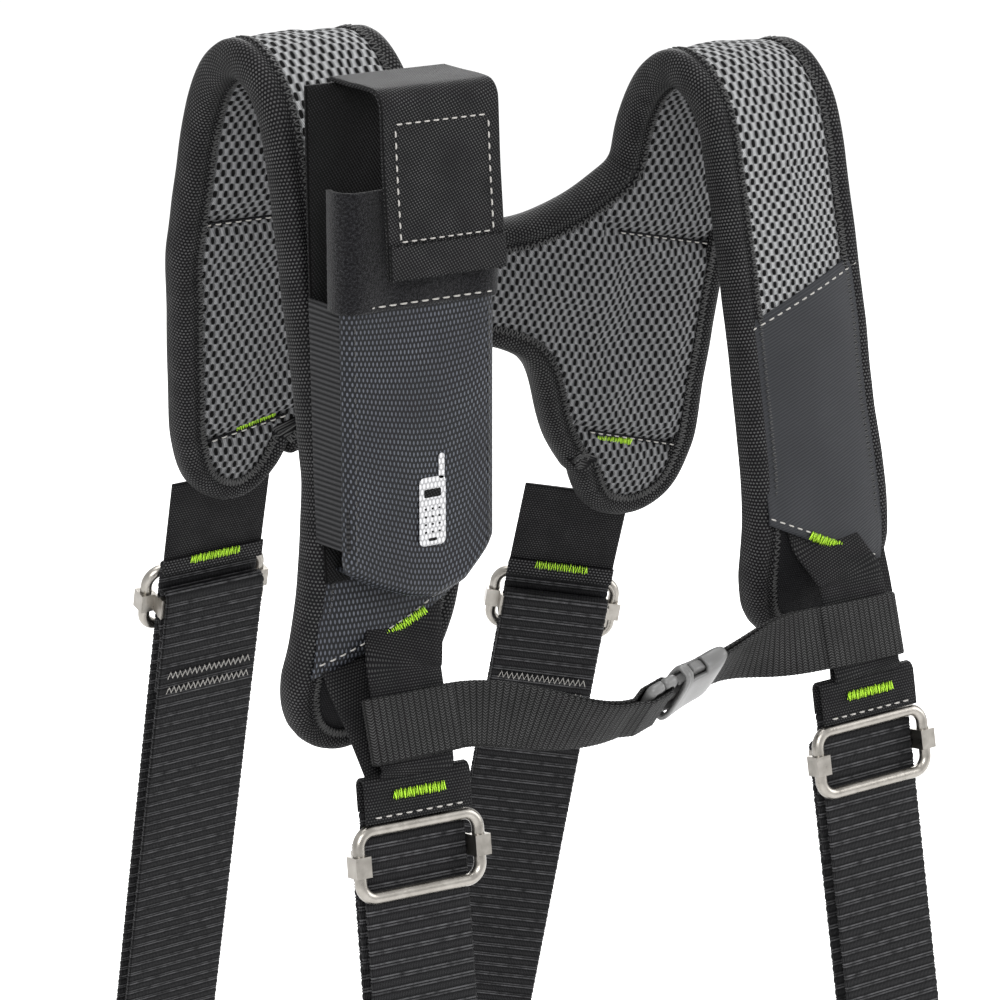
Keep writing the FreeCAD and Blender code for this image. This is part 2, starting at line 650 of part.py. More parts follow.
def make_buckle():
    """Side-release buckle in its own frame: the plug's end is at +X, its prongs point to -X."""
    length, h, d = BUCKLE_L / 2, BUCKLE_H / 2, BUCKLE_D / 2
    slot_h = CHEST_WEB / 2 + 0.4
    mouth = 3.0                # where the plug goes into the socket
    wall = 1.6
    shell = box(-length, mouth, -d, d, -h, h)
    shell = shell.makeFillet(2.5, [e for e in shell.Edges if is_crosswise(e)])
    cavity = box(mouth - 15, mouth + 1, -d + wall, d - wall, -h + 3, h - 3)
    windows = box(mouth - 13, mouth - 4, -d + 1.2, d - 1.2, -h - 1, h + 1)
    web_slot = box(-length + 2.2, -length + 5.4, -d - 1, d + 1, -slot_h, slot_h)
    socket = shell.cut(cavity).cut(windows).cut(web_slot)
    frame = box(mouth + 0.4, length, -2.2, 2.2, -h, h)
    for x in (length - 6.6, length - 12.8):
        frame = frame.cut(box(x, x + 3.6, -3, 3, -slot_h, slot_h))
    prong = box(mouth - 14, mouth + 0.4, -1.6, 1.6, -2.2, 2.2)
    pieces = {"buckle_socket": socket, "buckle_plug": frame.fuse(prong).removeSplitter()}
    for name, sz in (("buckle_latch_upper", 1), ("buckle_latch_lower", -1)):
        outline = [(0, 7.0), (0, 10.0), (-4.4, 10.4), (-4.4, h - 0.3), (-7.5, h - 0.3), (-12.6, 10.2), (-14, 7.0)]
        corners = [V(mouth + x, -1.6, sz * z) for x, z in outline]
        pieces[name] = Part.Face(Part.makePolygon(corners + corners[:1])).extrude(V(0, 3.2, 0))
    return pieces


def main():
    make_pads()
    places = {name: make_strap(name, *spec) for name, spec in STRAPS.items()}
    make_stubs(places)
    make_pocket()
    make_chest(chest_placement())


main()
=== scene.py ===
import bpy
import math
import numpy as np
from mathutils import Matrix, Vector, kdtree, noise


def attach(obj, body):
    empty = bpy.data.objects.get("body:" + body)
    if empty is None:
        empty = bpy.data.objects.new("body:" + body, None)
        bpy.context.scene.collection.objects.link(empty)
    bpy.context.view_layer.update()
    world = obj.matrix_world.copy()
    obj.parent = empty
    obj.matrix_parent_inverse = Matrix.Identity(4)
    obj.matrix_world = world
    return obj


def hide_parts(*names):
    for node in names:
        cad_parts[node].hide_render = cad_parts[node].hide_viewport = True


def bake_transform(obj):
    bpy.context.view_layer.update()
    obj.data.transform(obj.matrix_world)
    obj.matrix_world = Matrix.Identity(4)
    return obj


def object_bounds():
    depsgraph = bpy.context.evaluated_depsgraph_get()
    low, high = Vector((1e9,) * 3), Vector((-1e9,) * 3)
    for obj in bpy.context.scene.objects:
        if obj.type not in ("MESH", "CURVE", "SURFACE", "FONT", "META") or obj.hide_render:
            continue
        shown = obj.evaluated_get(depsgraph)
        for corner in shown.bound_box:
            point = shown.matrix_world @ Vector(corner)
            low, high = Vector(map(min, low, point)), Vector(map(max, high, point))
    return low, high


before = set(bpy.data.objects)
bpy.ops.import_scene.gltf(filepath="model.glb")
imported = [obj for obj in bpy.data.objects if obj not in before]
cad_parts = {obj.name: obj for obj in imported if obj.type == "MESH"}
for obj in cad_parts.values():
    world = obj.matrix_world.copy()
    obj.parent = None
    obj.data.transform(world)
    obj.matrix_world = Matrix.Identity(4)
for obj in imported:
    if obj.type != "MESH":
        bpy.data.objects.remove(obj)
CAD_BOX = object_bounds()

# Looks of the padded tool-belt braces. Lengths are in millimetres until a mesh is made.
MM = 0.001
SIDES = {"left": -1, "right": 1}
CORNERS = ("front_left", "front_right", "back_left", "back_right")

# ---- the padded body, as in the CAD model ----
# Middle line of the pads over the shoulder as (y, z), from the front feet to the back feet.
PAD_LINE = np.array([(-38, -212), (-49, -170), (-45, -120), (-35, -66), (-26, -24), (-15, 4),
                     (2, 13), (20, 5), (34, -22), (47, -66), (58, -110), (68, -153)], float)
PAD_INNER, PAD_OUTER = 61.0, 114.0
SHOULDER_DROP, BACK_DROP, YOKE_DROP = 20.0, 32.0, 26.0    # how much lower the right side hangs
SADDLE_TOP, BACK_LOW = 13.0, -154.0
# Edges of the front feet as (distance from the middle, z), from the inner to the outer side.
FRONT_FEET = {-1: [(61, -150), (67, -174), (82, -200), (103, -211), (119, -203), (124, -185)],
              1: [(61, -181), (68, -198), (82, -205), (100, -202), (113, -189), (118, -170)]}
BACK_FOOT_OUTER = {-1: 105.0, 1: 113.0}
# Edges of the back yoke as (x, z), before the body's lean.
YOKE_TOP = [(-61, -20), (-47, -33), (-33, -42), (0, -50), (33, -42), (47, -33), (61, -20)]
YOKE_LOW = [(-61, -141), (-48, -124), (-36, -99), (0, -92), (36, -99), (48, -124), (61, -141)]
YOKE_CORNERS = [(-61, -20), (-61, -141), (61, -148), (61, -24)]
INFLATE_FRAMES, MOST_PUFF = 14, 3.5     # solver frames, and the most that a point may move
# Heights of the slanting seams at the pads' inner and outer edges: front, quilting, back feet.
SEAM_LOW, SEAM_HIGH = (-156.0, -182.0), (-80.0, -56.0)
QUILT_SEAMS = {-1: (-48.0, -48.0), 1: (-45.5, -57.0)}
LOBE_SEAMS = {-1: (-124.0, -134.0), 1: (-119.0, -133.0)}
HALF_STACK = 5.0             # half the thickness of lining, foam and cover
CROWN = 2.4                  # how far the padding swells between its seams before it is blown up
OVERRUN = 8.0                # the pads' line goes on this far past their feet
LIP = 8.1                    # how far the edge binding reaches in over the faces
LOOP_PITCH = 2.2             # spacing of the loops along its edge
# Section of one side of the binding: distance in from the body's edge, and height above its middle.
BINDING_FOLD = [(LIP, 5.5), (LIP - 0.2, 6.3), (LIP - 0.9, 6.8), (LIP - 1.8, 6.5), (LIP - 2.6, 5.75),
                (LIP - 3.4, 6.1), (3.4, 6.75), (1.8, 6.6), (0.3, 5.8), (-0.8, 4.0), (-1.4, 1.8)]

# ---- straps ----
# Middle of the slider, middle of the ring, and twist in degrees.
STRAPS = {
    "front_left": ((-94, -75, -242), (-99, -104, -410), 0.0),
    "front_right": ((94, -75, -242), (99, -104, -410), 0.0),
    "back_left": ((-78, 92, -198), (-70, 156, -410), 0.0),
    "back_right": ((76, 97, -231), (66, 136, -410), -28.0),
}
WEB, WEB_T = 40.0, 1.6
STRAP_TOP, TAPE_LOW = 28.25, 15.25      # ends of the sewn joint, above the slider
RETURN_Y, RING_Y = -5.6, -2.4           # how far out the returning layer and the ring lie
RIB_PITCH = 4.4


# ---- small geometry helpers ----
def unit(v):
    """The vectors at length 1."""
    v = np.asarray(v, float)
    return v / np.maximum(np.linalg.norm(v, axis=-1, keepdims=True), 1e-9)


def cubic(knots, values, at):
    """Natural cubic spline through the values at the knots."""
    h = np.diff(knots)
    n = len(knots)
    system = np.eye(n)
    right = np.zeros(n)
    for i in range(1, n - 1):
        system[i, i - 1:i + 2] = h[i - 1], 2 * (h[i - 1] + h[i]), h[i]
        right[i] = 6 * ((values[i + 1] - values[i]) / h[i] - (values[i] - values[i - 1]) / h[i - 1])
    bend = np.linalg.solve(system, right)
    i = np.clip(np.searchsorted(knots, at) - 1, 0, n - 2)
    a, b = knots[i + 1] - at, at - knots[i]
    start = values[i] / h[i] - bend[i] * h[i] / 6
    end = values[i + 1] / h[i] - bend[i + 1] * h[i] / 6
    return start * a + end * b + (bend[i] * a ** 3 + bend[i + 1] * b ** 3) / (6 * h[i])


def chord(points):
    """Length along the polyline at each of its points."""
    return np.concatenate([[0.0], np.cumsum(np.linalg.norm(np.diff(points, axis=0), axis=1))])


def curve(points, step):
    """Smooth line through the points, sampled about every step."""
    points = np.asarray(points, float)
    knots = chord(points)
    at = np.linspace(0, knots[-1], max(3, int(knots[-1] / step) + 1))
    return np.stack([cubic(knots, points[:, k], at) for k in range(points.shape[1])], 1)


def resample(points, step):
    """The same polyline with evenly spaced points."""
    points = np.asarray(points, float)
    knots = chord(points)
    at = np.linspace(0, knots[-1], max(3, int(knots[-1] / step) + 1))
    return at_along(at, knots, points)


def at_along(at, knots, values):
    """The columns of values, given at the knots, read at other places along them."""
    return np.stack([np.interp(at, knots, values[:, k]) for k in range(values.shape[1])], 1)


def soft_line(points, step=1.0, reach=9):
    """The polyline with its corners eased, its ends kept."""
    line = resample(points, step)
    before = 2 * line[0] - line[reach:0:-1]
    after = 2 * line[-1] - line[-2:-reach - 2:-1]
    kernel = np.hanning(2 * reach + 1)
    kernel /= kernel.sum()
    padded = np.concatenate([before, line, after])
    return np.stack([np.convolve(padded[:, k], kernel, "valid") for k in range(line.shape[1])], 1)


def arc(y, z, radius, start, end, steps=10):
    """Points of an arc in the plane of y and z, between two angles in degrees."""
    angles = np.radians(np.linspace(start, end, steps))
    return [(0, y + radius * math.cos(a), z + radius * math.sin(a)) for a in angles]


def make(name, points, faces, uvs, tone):
    """A smooth mesh piece. Points are in millimetres; uvs are millimetres of cloth, one per point."""
    mesh = bpy.data.meshes.new(name)
    mesh.from_pydata((np.asarray(points) * MM).tolist(), [], [tuple(int(i) for i in f) for f in faces])
    mesh.shade_smooth()
    layer = mesh.uv_layers.new(name="cloth")
    corners = np.zeros(len(mesh.loops), np.int32)
    mesh.loops.foreach_get("vertex_index", corners)
    layer.data.foreach_set("uv", np.asarray(uvs, np.float32)[corners].ravel())
    mesh.materials.append(MATERIALS[tone])
    piece = bpy.data.objects.new(name, mesh)
    bpy.context.scene.collection.objects.link(piece)
    return piece


def grid_faces(rows, cols, wrap=False):
    """Four-sided faces of a grid of points; wrap joins its last column to its first."""
    last = cols if wrap else cols - 1
    return [(r * cols + c, r * cols + (c + 1) % cols, (r + 1) * cols + (c + 1) % cols, (r + 1) * cols + c)
            for r in range(rows - 1) for c in range(last)]


def grid_uvs(u, v):
    """Cloth coordinates of a grid, from the lengths along its columns and its rows."""
    return np.stack(np.broadcast_arrays(u[None, :], v[:, None]), -1).reshape(-1, 2)


def sweep(name, path, across, section, tone, swell=None):
    """Sweeps a closed section of (sideways, outward) points along a path, with closed ends."""
    path = np.asarray(path, float)
    across = np.broadcast_to(np.asarray(across, float), path.shape)
    along = unit(np.gradient(path, axis=0))
    out = unit(np.cross(across, along))
    across = unit(np.cross(along, out))
    section = np.asarray(section, float)
    rows, cols = len(path), len(section)
    v = chord(path)
    grow = np.zeros(rows) if swell is None else swell(v)
    sideways, outward = section[:, 0], section[:, 1]
    lift = outward[None, :] + np.sign(outward)[None, :] * grow[:, None]
    rim = np.sign(sideways) * (np.abs(sideways) > np.abs(sideways).max() - 0.2)
    wide = sideways[None, :] + rim[None, :] * grow[:, None]
    points = path[:, None, :] + across[:, None, :] * wide[:, :, None] + out[:, None, :] * lift[:, :, None]
    faces = grid_faces(rows, cols, wrap=True)
    faces += [tuple(range(cols))[::-1], tuple((rows - 1) * cols + c for c in range(cols))]
    return make(name, points.reshape(-1, 3), faces, grid_uvs(chord(section), v), tone)


def thicken(piece, thickness, offset=0.0):
    """Gives a single skin its thickness: to both sides, or inwards with an offset of -1."""
    modifier = piece.modifiers.new("thickness", "SOLIDIFY")
    modifier.thickness = thickness * MM
    modifier.offset = offset


def web_section(width, thickness, columns=9):
    """Flat webbing with softly rounded edges."""
    w, t = width / 2, thickness / 2
    front = [(x, t) for x in np.linspace(-w + 0.7, w - 0.7, columns)]
    edge = [(w - 0.15, t * 0.6), (w, 0.0), (w - 0.15, -t * 0.6)]
    back = [(x, -t) for x in np.linspace(w - 0.7, -w + 0.7, columns)]
    return front + edge + back + [(-x, y) for x, y in edge[::-1]]


def tube(path, radius, sides=6):
    """Points and faces of a closed-ended round thread along a path."""
    path = np.asarray(path, float)
    along = unit(np.gradient(path, axis=0))
    aside = unit(np.cross(along, (0.31, 0.17, 0.93)))
    up = np.cross(along, aside)
    turn = np.linspace(0, 2 * np.pi, sides, endpoint=False)
    ring = aside[:, None] * np.cos(turn)[None, :, None] + up[:, None] * np.sin(turn)[None, :, None]
    scale = np.full(len(path), radius)
    scale[[0, -1]] = radius * 0.45
    points = (path[:, None] + ring * scale[:, None, None]).reshape(-1, 3)
    faces = grid_faces(len(path), sides, wrap=True)
    faces += [tuple(range(sides))[::-1], tuple((len(path) - 1) * sides + k for k in range(sides))]
    return points, faces


def threads(name, paths, radius, tone, sides=6):
    """Many short threads as one piece."""
    points, faces, count = [], [], 0
    for path in paths:
        p, f = tube(path, radius, sides)
        faces += [tuple(i + count for i in face) for face in f]
        points.append(p)
        count += len(p)
    points = np.concatenate(points)
    return make(name, points, faces, points[:, [0, 2]], tone)


def stitch_paths(line, normal, length, gap):
    """Cuts a line on a surface into stitches that bed into the cloth at their ends."""
    line = np.asarray(line, float)
    knots = chord(line)
    normal = np.broadcast_to(np.asarray(normal, float), line.shape)
    paths = []
    for start in np.arange(0.5, knots[-1] - length, length + gap):
        at = start + np.array([0.0, 0.2, 0.5, 0.8, 1.0]) * length
        rise = np.array([-0.25, 0.1, 0.2, 0.1, -0.25])[:, None]
        paths.append(at_along(at, knots, line) + unit(at_along(at, knots, normal)) * rise)
    return paths


# ---- materials ----
class Value:
    """What a shader node works out. Arithmetic on it adds nodes."""

    def __init__(self, cloth, socket):
        self.cloth = cloth
        self.socket = socket

    def __add__(self, other):
        return self.cloth.math("ADD", self, other)

    def __sub__(self, other):
        return self.cloth.math("SUBTRACT", self, other)

    def __mul__(self, other):
        return self.cloth.math("MULTIPLY", self, other)

    def __truediv__(self, other):
        return self.cloth.math("DIVIDE", self, other)

    def __pow__(self, other):
        return self.cloth.math("POWER", self, other)


class Cloth:
    """A material under construction. u runs across the cloth and v along it, in millimetres."""

    def __init__(self, name, roughness, sheen=0.0, metallic=0.0, specular=0.07):
        self.material = bpy.data.materials.new(name)
        self.material.use_nodes = True
        self.tree = self.material.node_tree
        self.shader = self.tree.nodes["Principled BSDF"]
        self.shader.inputs["Roughness"].default_value = roughness
        self.shader.inputs["Metallic"].default_value = metallic
        self.shader.inputs["Sheen Weight"].default_value = sheen
        self.shader.inputs["Specular IOR Level"].default_value = specular
        source = self.tree.nodes.new("ShaderNodeUVMap")
        source.uv_map = "cloth"
        split = self.tree.nodes.new("ShaderNodeSeparateXYZ")
        self.tree.links.new(source.outputs[0], split.inputs[0])
        self.uv, self.u, self.v = (Value(self, o) for o in (source.outputs[0], *split.outputs[:2]))

    def put(self, socket, value):
        if isinstance(value, Value):
            self.tree.links.new(value.socket, socket)
        else:
            socket.default_value = value

    def math(self, operation, a, b=0.0):
        node = self.tree.nodes.new("ShaderNodeMath")
        node.operation = operation
        self.put(node.inputs[0], a)
        self.put(node.inputs[1], b)
        return Value(self, node.outputs[0])

    def step(self, value, low, high):
        """0 below low, 1 above high, smooth between; low above high turns it round."""
        node = self.tree.nodes.new("ShaderNodeMapRange")
        node.interpolation_type = "SMOOTHSTEP"
        self.put(node.inputs["Value"], value)
        flipped = low > high
        node.inputs["From Min"].default_value = min(low, high)
        node.inputs["From Max"].default_value = max(low, high)
        node.inputs["To Min"].default_value = 1.0 if flipped else 0.0
        node.inputs["To Max"].default_value = 0.0 if flipped else 1.0
        return Value(self, node.outputs[0])

    def near(self, value, middle, far, close):
        """1 where the value is within close of the middle, 0 where it is further than far."""
        return self.step(self.math("ABSOLUTE", value - middle), far, close)

    def mix(self, share, a, b):
        node = self.tree.nodes.new("ShaderNodeMix")
        node.data_type = "RGBA"
        self.put(node.inputs[0], share)
        for socket, tone in ((node.inputs[6], a), (node.inputs[7], b)):
            self.put(socket, tone if isinstance(tone, Value) else (*tone, 1.0))
        return Value(self, node.outputs[2])

    def noise(self, scale, detail=2.0):
        """Noise over the cloth; scale is in features per millimetre."""
        node = self.tree.nodes.new("ShaderNodeTexNoise")
        self.put(node.inputs["Vector"], self.uv)
        node.inputs["Scale"].default_value = scale
        node.inputs["Detail"].default_value = detail
        return Value(self, node.outputs[0])

    def object_noise(self, scale, stretch=(1.0, 1.0, 1.0)):
        """Noise over the object in metres, for CAD pieces that have no cloth map."""
        where = self.tree.nodes.new("ShaderNodeTexCoord")
        scaled = self.tree.nodes.new("ShaderNodeMapping")
        scaled.inputs["Scale"].default_value = stretch
        node = self.tree.nodes.new("ShaderNodeTexNoise")
        node.inputs["Scale"].default_value = scale
        node.inputs["Detail"].default_value = 4.0
        self.tree.links.new(where.outputs["Object"], scaled.inputs[0])
        self.tree.links.new(scaled.outputs[0], node.inputs["Vector"])
        return Value(self, node.outputs[0])

    def patchy_highlights(self, scale, low, high, least, detail=2.0):
        """Patches between least and 1, which make the painted highlights on the yarns uneven."""
        return self.step(self.noise(scale, detail), low, high) * (1 - least) + least

    def dots(self, pitch_u, pitch_v, radius_u, radius_v, soft):
        """1 inside ellipses on a staggered lattice, 0 between them."""
        row = self.v / pitch_v
        shift = self.math("FLOORED_MODULO", self.math("FLOOR", row), 2.0) * 0.5
        column = self.u / pitch_u + shift
        x = self.math("FRACT", column) - 0.5
        y = self.math("FRACT", row) - 0.5
        x = x * (pitch_u / radius_u)
        y = y * (pitch_v / radius_v)
        return self.step(x * x + y * y, 1.0 + soft, 1.0 - soft)

    def ridges(self, value, pitch):
        """Smooth ridges, 0 to 1, once every pitch."""
        return self.math("SINE", value * (2 * math.pi / pitch)) * 0.5 + 0.5

    def finish(self, colour, height, bump):
        """Sets the colour, and a bump of this many millimetres."""
        self.put(self.shader.inputs["Base Color"], colour)
        node = self.tree.nodes.new("ShaderNodeBump")
        node.inputs["Distance"].default_value = bump * MM
        self.put(node.inputs["Height"], height)
        self.tree.links.new(node.outputs[0], self.shader.inputs["Normal"])
        return self.material


def spacer_mesh(name, yarn, bright, hole_shade):
    """Knitted spacer mesh with staggered upright holes; the holes are painted dark as the shade inside them,
    with a painted ring of shade round each.
    """
    cloth = Cloth(name, 0.85)
    holes = cloth.dots(3.6, 2.6, 0.66, 1.36, 0.3)
    # painted shade: rim is a darker ring round each hole, for its depth
    rim = cloth.dots(3.6, 2.6, 1.15, 1.9, 0.6)
    knit = cloth.ridges(cloth.u + cloth.v * 0.45, 0.6)
    tone = cloth.mix(knit * cloth.noise(0.35), yarn, bright)
    tone = cloth.mix(rim * 0.55, tone, hole_shade)
    height = knit * 0.12 - (holes + rim)
    return cloth.finish(cloth.mix(holes, tone, hole_shade), height, 0.7)


def coarse_weave(name, dark, light, pitch, bump):
    """Plain webbing or tape: staggered yarn crossings that catch the light."""
    cloth = Cloth(name, 0.6)
    crossing = cloth.dots(pitch, pitch * 0.9, pitch * 0.33, pitch * 0.27, 0.7)
    share = crossing * cloth.patchy_highlights(0.12, 0.1, 0.9, 0.4, 3.0)
    return cloth.finish(cloth.mix(share, dark, light), crossing, bump)


def ribbed_web():
    """Strap webbing: the cross ribs are in the mesh, the fine yarns are here; the lighter yarns on each
    broad rib and the two lighter cords are painted highlights.
    """
    cloth = Cloth("ribbed_web", 0.55, specular=0.1)
    phase = cloth.math("FRACT", cloth.v / RIB_PITCH) * RIB_PITCH
    first = cloth.near(phase, 2.9, 0.4, 0.1)
    second = cloth.near(phase, 3.85, 0.4, 0.1)
    lines = cloth.math("MAXIMUM", first, second * 0.7)
    yarns = cloth.ridges(cloth.u, 0.62)
    crest = cloth.near(phase, 1.2, 1.2, 0.3)
    base = cloth.mix(yarns * crest, (0.0025, 0.0025, 0.003), (0.016, 0.016, 0.017))
    # painted highlights on the two thin cords, in patches
    cord_highlights = lines * cloth.step(cloth.noise(0.3, 3.0), 0.15, 0.7)
    return cloth.finish(cloth.mix(cord_highlights, base, (0.075, 0.075, 0.078)), yarns, 0.15)


def chevron_web():
    """Chest webbing: upright columns of slanting yarns that change direction; the lighter yarns are painted
    highlights.
    """
    cloth = Cloth("chevron_web", 0.55)
    column = cloth.math("PINGPONG", cloth.v, 1.1)
    yarn = cloth.ridges(cloth.u + column * 0.8, 0.95)
    valley = cloth.step(column, 0.0, 0.5)
    share = yarn ** 1.6 * valley * cloth.patchy_highlights(0.1, 0.2, 0.8, 0.5)
    return cloth.finish(cloth.mix(share, (0.0035, 0.0035, 0.0035), (0.075, 0.075, 0.075)), share, 0.35)


def twill(name, dark, light):
    """Flap cloth: steep diagonal ribs broken into short yarns; the lighter yarns are painted highlights."""
    cloth = Cloth(name, 0.62)
    rib = cloth.ridges(cloth.u + cloth.v * 0.62, 1.15)
    broken = cloth.ridges(cloth.v - cloth.u * 0.3, 0.95)
    share = rib ** 2.0 * broken ** 1.5 * cloth.patchy_highlights(0.1, 0.2, 0.8, 0.5)
    return cloth.finish(cloth.mix(share, dark, light), rib, 0.25)


def ballistic():
    """Heavy basket weave with a cold blue-grey shine on each float."""
    cloth = Cloth("ballistic_nylon", 0.5, specular=0.2)
    floats = cloth.dots(1.45, 1.9, 0.33, 0.72, 0.5)
    share = floats * cloth.patchy_highlights(0.04, 0.25, 0.75, 0.6)
    return cloth.finish(cloth.mix(share, (0.003, 0.0033, 0.0045), (0.075, 0.082, 0.098)), floats, 0.25)


def smooth_panel():
    """Smooth grey-black cloth with very fine slanting ribs."""
    cloth = Cloth("smooth_panel", 0.5, specular=0.14)
    ribs = cloth.ridges(cloth.v + cloth.u * -0.45, 1.25)
    tone = cloth.mix(cloth.noise(0.03), (0.009, 0.0095, 0.011), (0.02, 0.021, 0.024))
    return cloth.finish(cloth.mix(ribs * 0.4, tone, (0.04, 0.042, 0.046)), ribs, 0.12)


def fuzzy_loop():
    """Brushed loop pile, almost black."""
    cloth = Cloth("fuzzy_loop", 0.95, sheen=0.12, specular=0.05)
    pile = cloth.noise(3.4, 4.0) * cloth.noise(1.3, 3.0)
    share = cloth.step(pile, 0.18, 0.45)
    return cloth.finish(cloth.mix(share, (0.002, 0.002, 0.0025), (0.022, 0.022, 0.025)), pile, 0.9)


def elastic():
    """Elastic side of the pocket: cross ribs over fine upright yarns."""
    cloth = Cloth("elastic", 0.65)
    ribs = cloth.ridges(cloth.v, 1.7)
    share = ribs * (cloth.ridges(cloth.u, 0.8) * 0.4 + 0.6)
    return cloth.finish(cloth.mix(share, (0.004, 0.004, 0.0045), (0.045, 0.045, 0.047)), ribs, 0.5)


def thread(name, dark, light):
    """Sewing thread with the faint lay of its plies."""
    cloth = Cloth(name, 0.5, specular=0.3)
    plies = cloth.ridges(cloth.u + cloth.v, 0.35)
    return cloth.finish(cloth.mix(plies, dark, light), plies, 0.08)


def print_ink():
    """Grey ink on the tops of the basket weave."""
    cloth = Cloth("print_ink", 0.6)
    weave = cloth.dots(1.45, 1.9, 0.55, 0.95, 0.5)
    return cloth.finish(cloth.mix(weave, (0.26, 0.26, 0.265), (0.48, 0.48, 0.49)), weave, 0.2)


def nickel():
    """Satin nickel plate, a little uneven and faintly brushed."""
    cloth = Cloth("nickel", 0.3, metallic=1.0, specular=0.5)
    cloud = cloth.object_noise(260.0)
    brushed = cloth.object_noise(900.0, (1.0, 1.0, 0.12))
    cloth.put(cloth.shader.inputs["Roughness"], cloud * 0.22 + 0.2)
    return cloth.finish(cloth.mix(cloud, (0.17, 0.158, 0.14), (0.4, 0.38, 0.35)), brushed, 0.05)


def buckle_plastic():
    """Satin grey moulded acetal with a fine spark-eroded grain."""
    cloth = Cloth("buckle_plastic", 0.38, specular=0.5)
    grain = cloth.object_noise(1500.0)
    tone = cloth.mix(cloth.object_noise(60.0), (0.075, 0.075, 0.075), (0.12, 0.119, 0.117))
    return cloth.finish(tone, grain, 0.05)


def floor_paper():
    """Plain pale paper."""
    paper = bpy.data.materials.new("floor_paper")
    paper.use_nodes = True
    shader = paper.node_tree.nodes["Principled BSDF"]
    shader.inputs["Base Color"].default_value = (0.97, 0.97, 0.97, 1)
    shader.inputs["Roughness"].default_value = 0.9
    return paper


# The second colour is painted shade: the near black inside the mesh holes.
BLACK, HOLE_SHADE = (0.0035, 0.0035, 0.004), (0.004, 0.004, 0.004)
MATERIALS = {
    "mesh_light": spacer_mesh("mesh_light", (0.17, 0.172, 0.175), (0.46, 0.465, 0.47), HOLE_SHADE),
    "mesh_dark": spacer_mesh("mesh_dark", (0.1, 0.101, 0.104), (0.32, 0.323, 0.33), (0.003, 0.003, 0.003)),
    "binding": coarse_weave("binding", BLACK, (0.075, 0.075, 0.075), 1.3, 0.4),
    "plain_web": coarse_weave("plain_web", BLACK, (0.04, 0.04, 0.04), 1.1, 0.3),
    "facing": coarse_weave("facing", BLACK, (0.018, 0.018, 0.02), 0.9, 0.15),
    "ribbed_web": ribbed_web(),
    "chest_web": chevron_web(),
    "twill": twill("twill", BLACK, (0.085, 0.085, 0.085)),
    # painted shade: a darker copy of the twill for the pocket's back wall, which lies in the shade inside
    # the pocket; it also gives the handset print its dark marks
    "shade_and_print_twill": twill("shade_and_print_twill", (0.003, 0.003, 0.003), (0.03, 0.03, 0.032)),
    "ballistic": ballistic(),
    "panel": smooth_panel(),
    "fuzzy_loop": fuzzy_loop(),
    "hook_patch": coarse_weave("hook_patch", (0.003, 0.003, 0.003), (0.04, 0.04, 0.04), 0.8, 0.7),
    "elastic": elastic(),
    "green_thread": thread("green_thread", (0.36, 0.72, 0.02), (0.62, 1.0, 0.07)),
    "pale_thread": thread("pale_thread", (0.22, 0.21, 0.195), (0.5, 0.485, 0.46)),
    "grey_thread": thread("grey_thread", (0.02, 0.02, 0.02), (0.085, 0.085, 0.085)),
    "nickel": nickel(),
    "buckle": buckle_plastic(),
    "print_ink": print_ink(),
    "floor_paper": floor_paper(),
}


def cover(piece, body, slot, *nodes):
    """Puts a piece on a body and hides the CAD solids it stands for; the finish slot is not used."""
    if body:
        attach(piece, body)
    if nodes:
        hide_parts(*nodes)
    return piece


def sew(name, paths, radius, tone, body, slot):
    """Visible thread on a piece of a body; the finish slot of what it is sewn to is not used."""
    cover(threads(name, paths, radius, tone), body, slot)


def webbing(name, path, across, size, tone, body, slot, *nodes):
    """A length of flat webbing on its body; size is (width, thickness)."""
    return cover(sweep(name, path, across, web_section(*size), tone), body, slot, *nodes)


# ---- the padded body's chart: x across, s along the pads ----
KNOTS = chord(PAD_LINE)
LINE_S = np.linspace(-OVERRUN, KNOTS[-1] + OVERRUN, 1300)
LINE_Y = cubic(KNOTS, PAD_LINE[:, 0], LINE_S)
LINE_Z = cubic(KNOTS, PAD_LINE[:, 1], LINE_S)
TOP = int(LINE_Z.argmax())


def s_at(z, front):
    """Where along the pad a height is, on its front or its back half."""
    if front:
        return np.interp(z, LINE_Z[:TOP], LINE_S[:TOP])
    return np.interp(z, LINE_Z[TOP:][::-1], LINE_S[TOP:][::-1])


def right_share(x):
    """0 on the left pad, 1 on the right pad, and between them across the yoke."""
    return np.clip((x + PAD_INNER) / (2 * PAD_INNER), 0, 1)


def back_drop(z):
    """How much lower the back of the right pad hangs, growing downwards."""
    return SHOULDER_DROP + (BACK_DROP - SHOULDER_DROP) * (SADDLE_TOP - z) / (SADDLE_TOP - BACK_LOW)


def drop(x, s):
    """How much lower the body hangs towards the right pad."""
    z = np.interp(s, LINE_S, LINE_Z)
    front = SHOULDER_DROP * np.clip((z + 170) / 150, 0, 1)
    return right_share(x) * np.where(s > LINE_S[TOP], back_drop(z), front)


def core(x, s):
    """Point halfway through the body's thickness."""
    return np.stack([x, np.interp(s, LINE_S, LINE_Y), np.interp(s, LINE_S, LINE_Z) - drop(x, s)], -1)


def place(x, s, t=0.0):
    """Point of the body at a depth t from its middle, and the direction outwards."""
    x, s, t = np.broadcast_arrays(np.asarray(x, float), np.asarray(s, float), np.asarray(t, float))
    along = unit(core(x, s + 2.0) - core(x, s - 2.0))
    out = unit(np.stack([np.zeros_like(x), -along[..., 2], along[..., 1]], -1))
    return core(x, s) + out * t[..., None], out


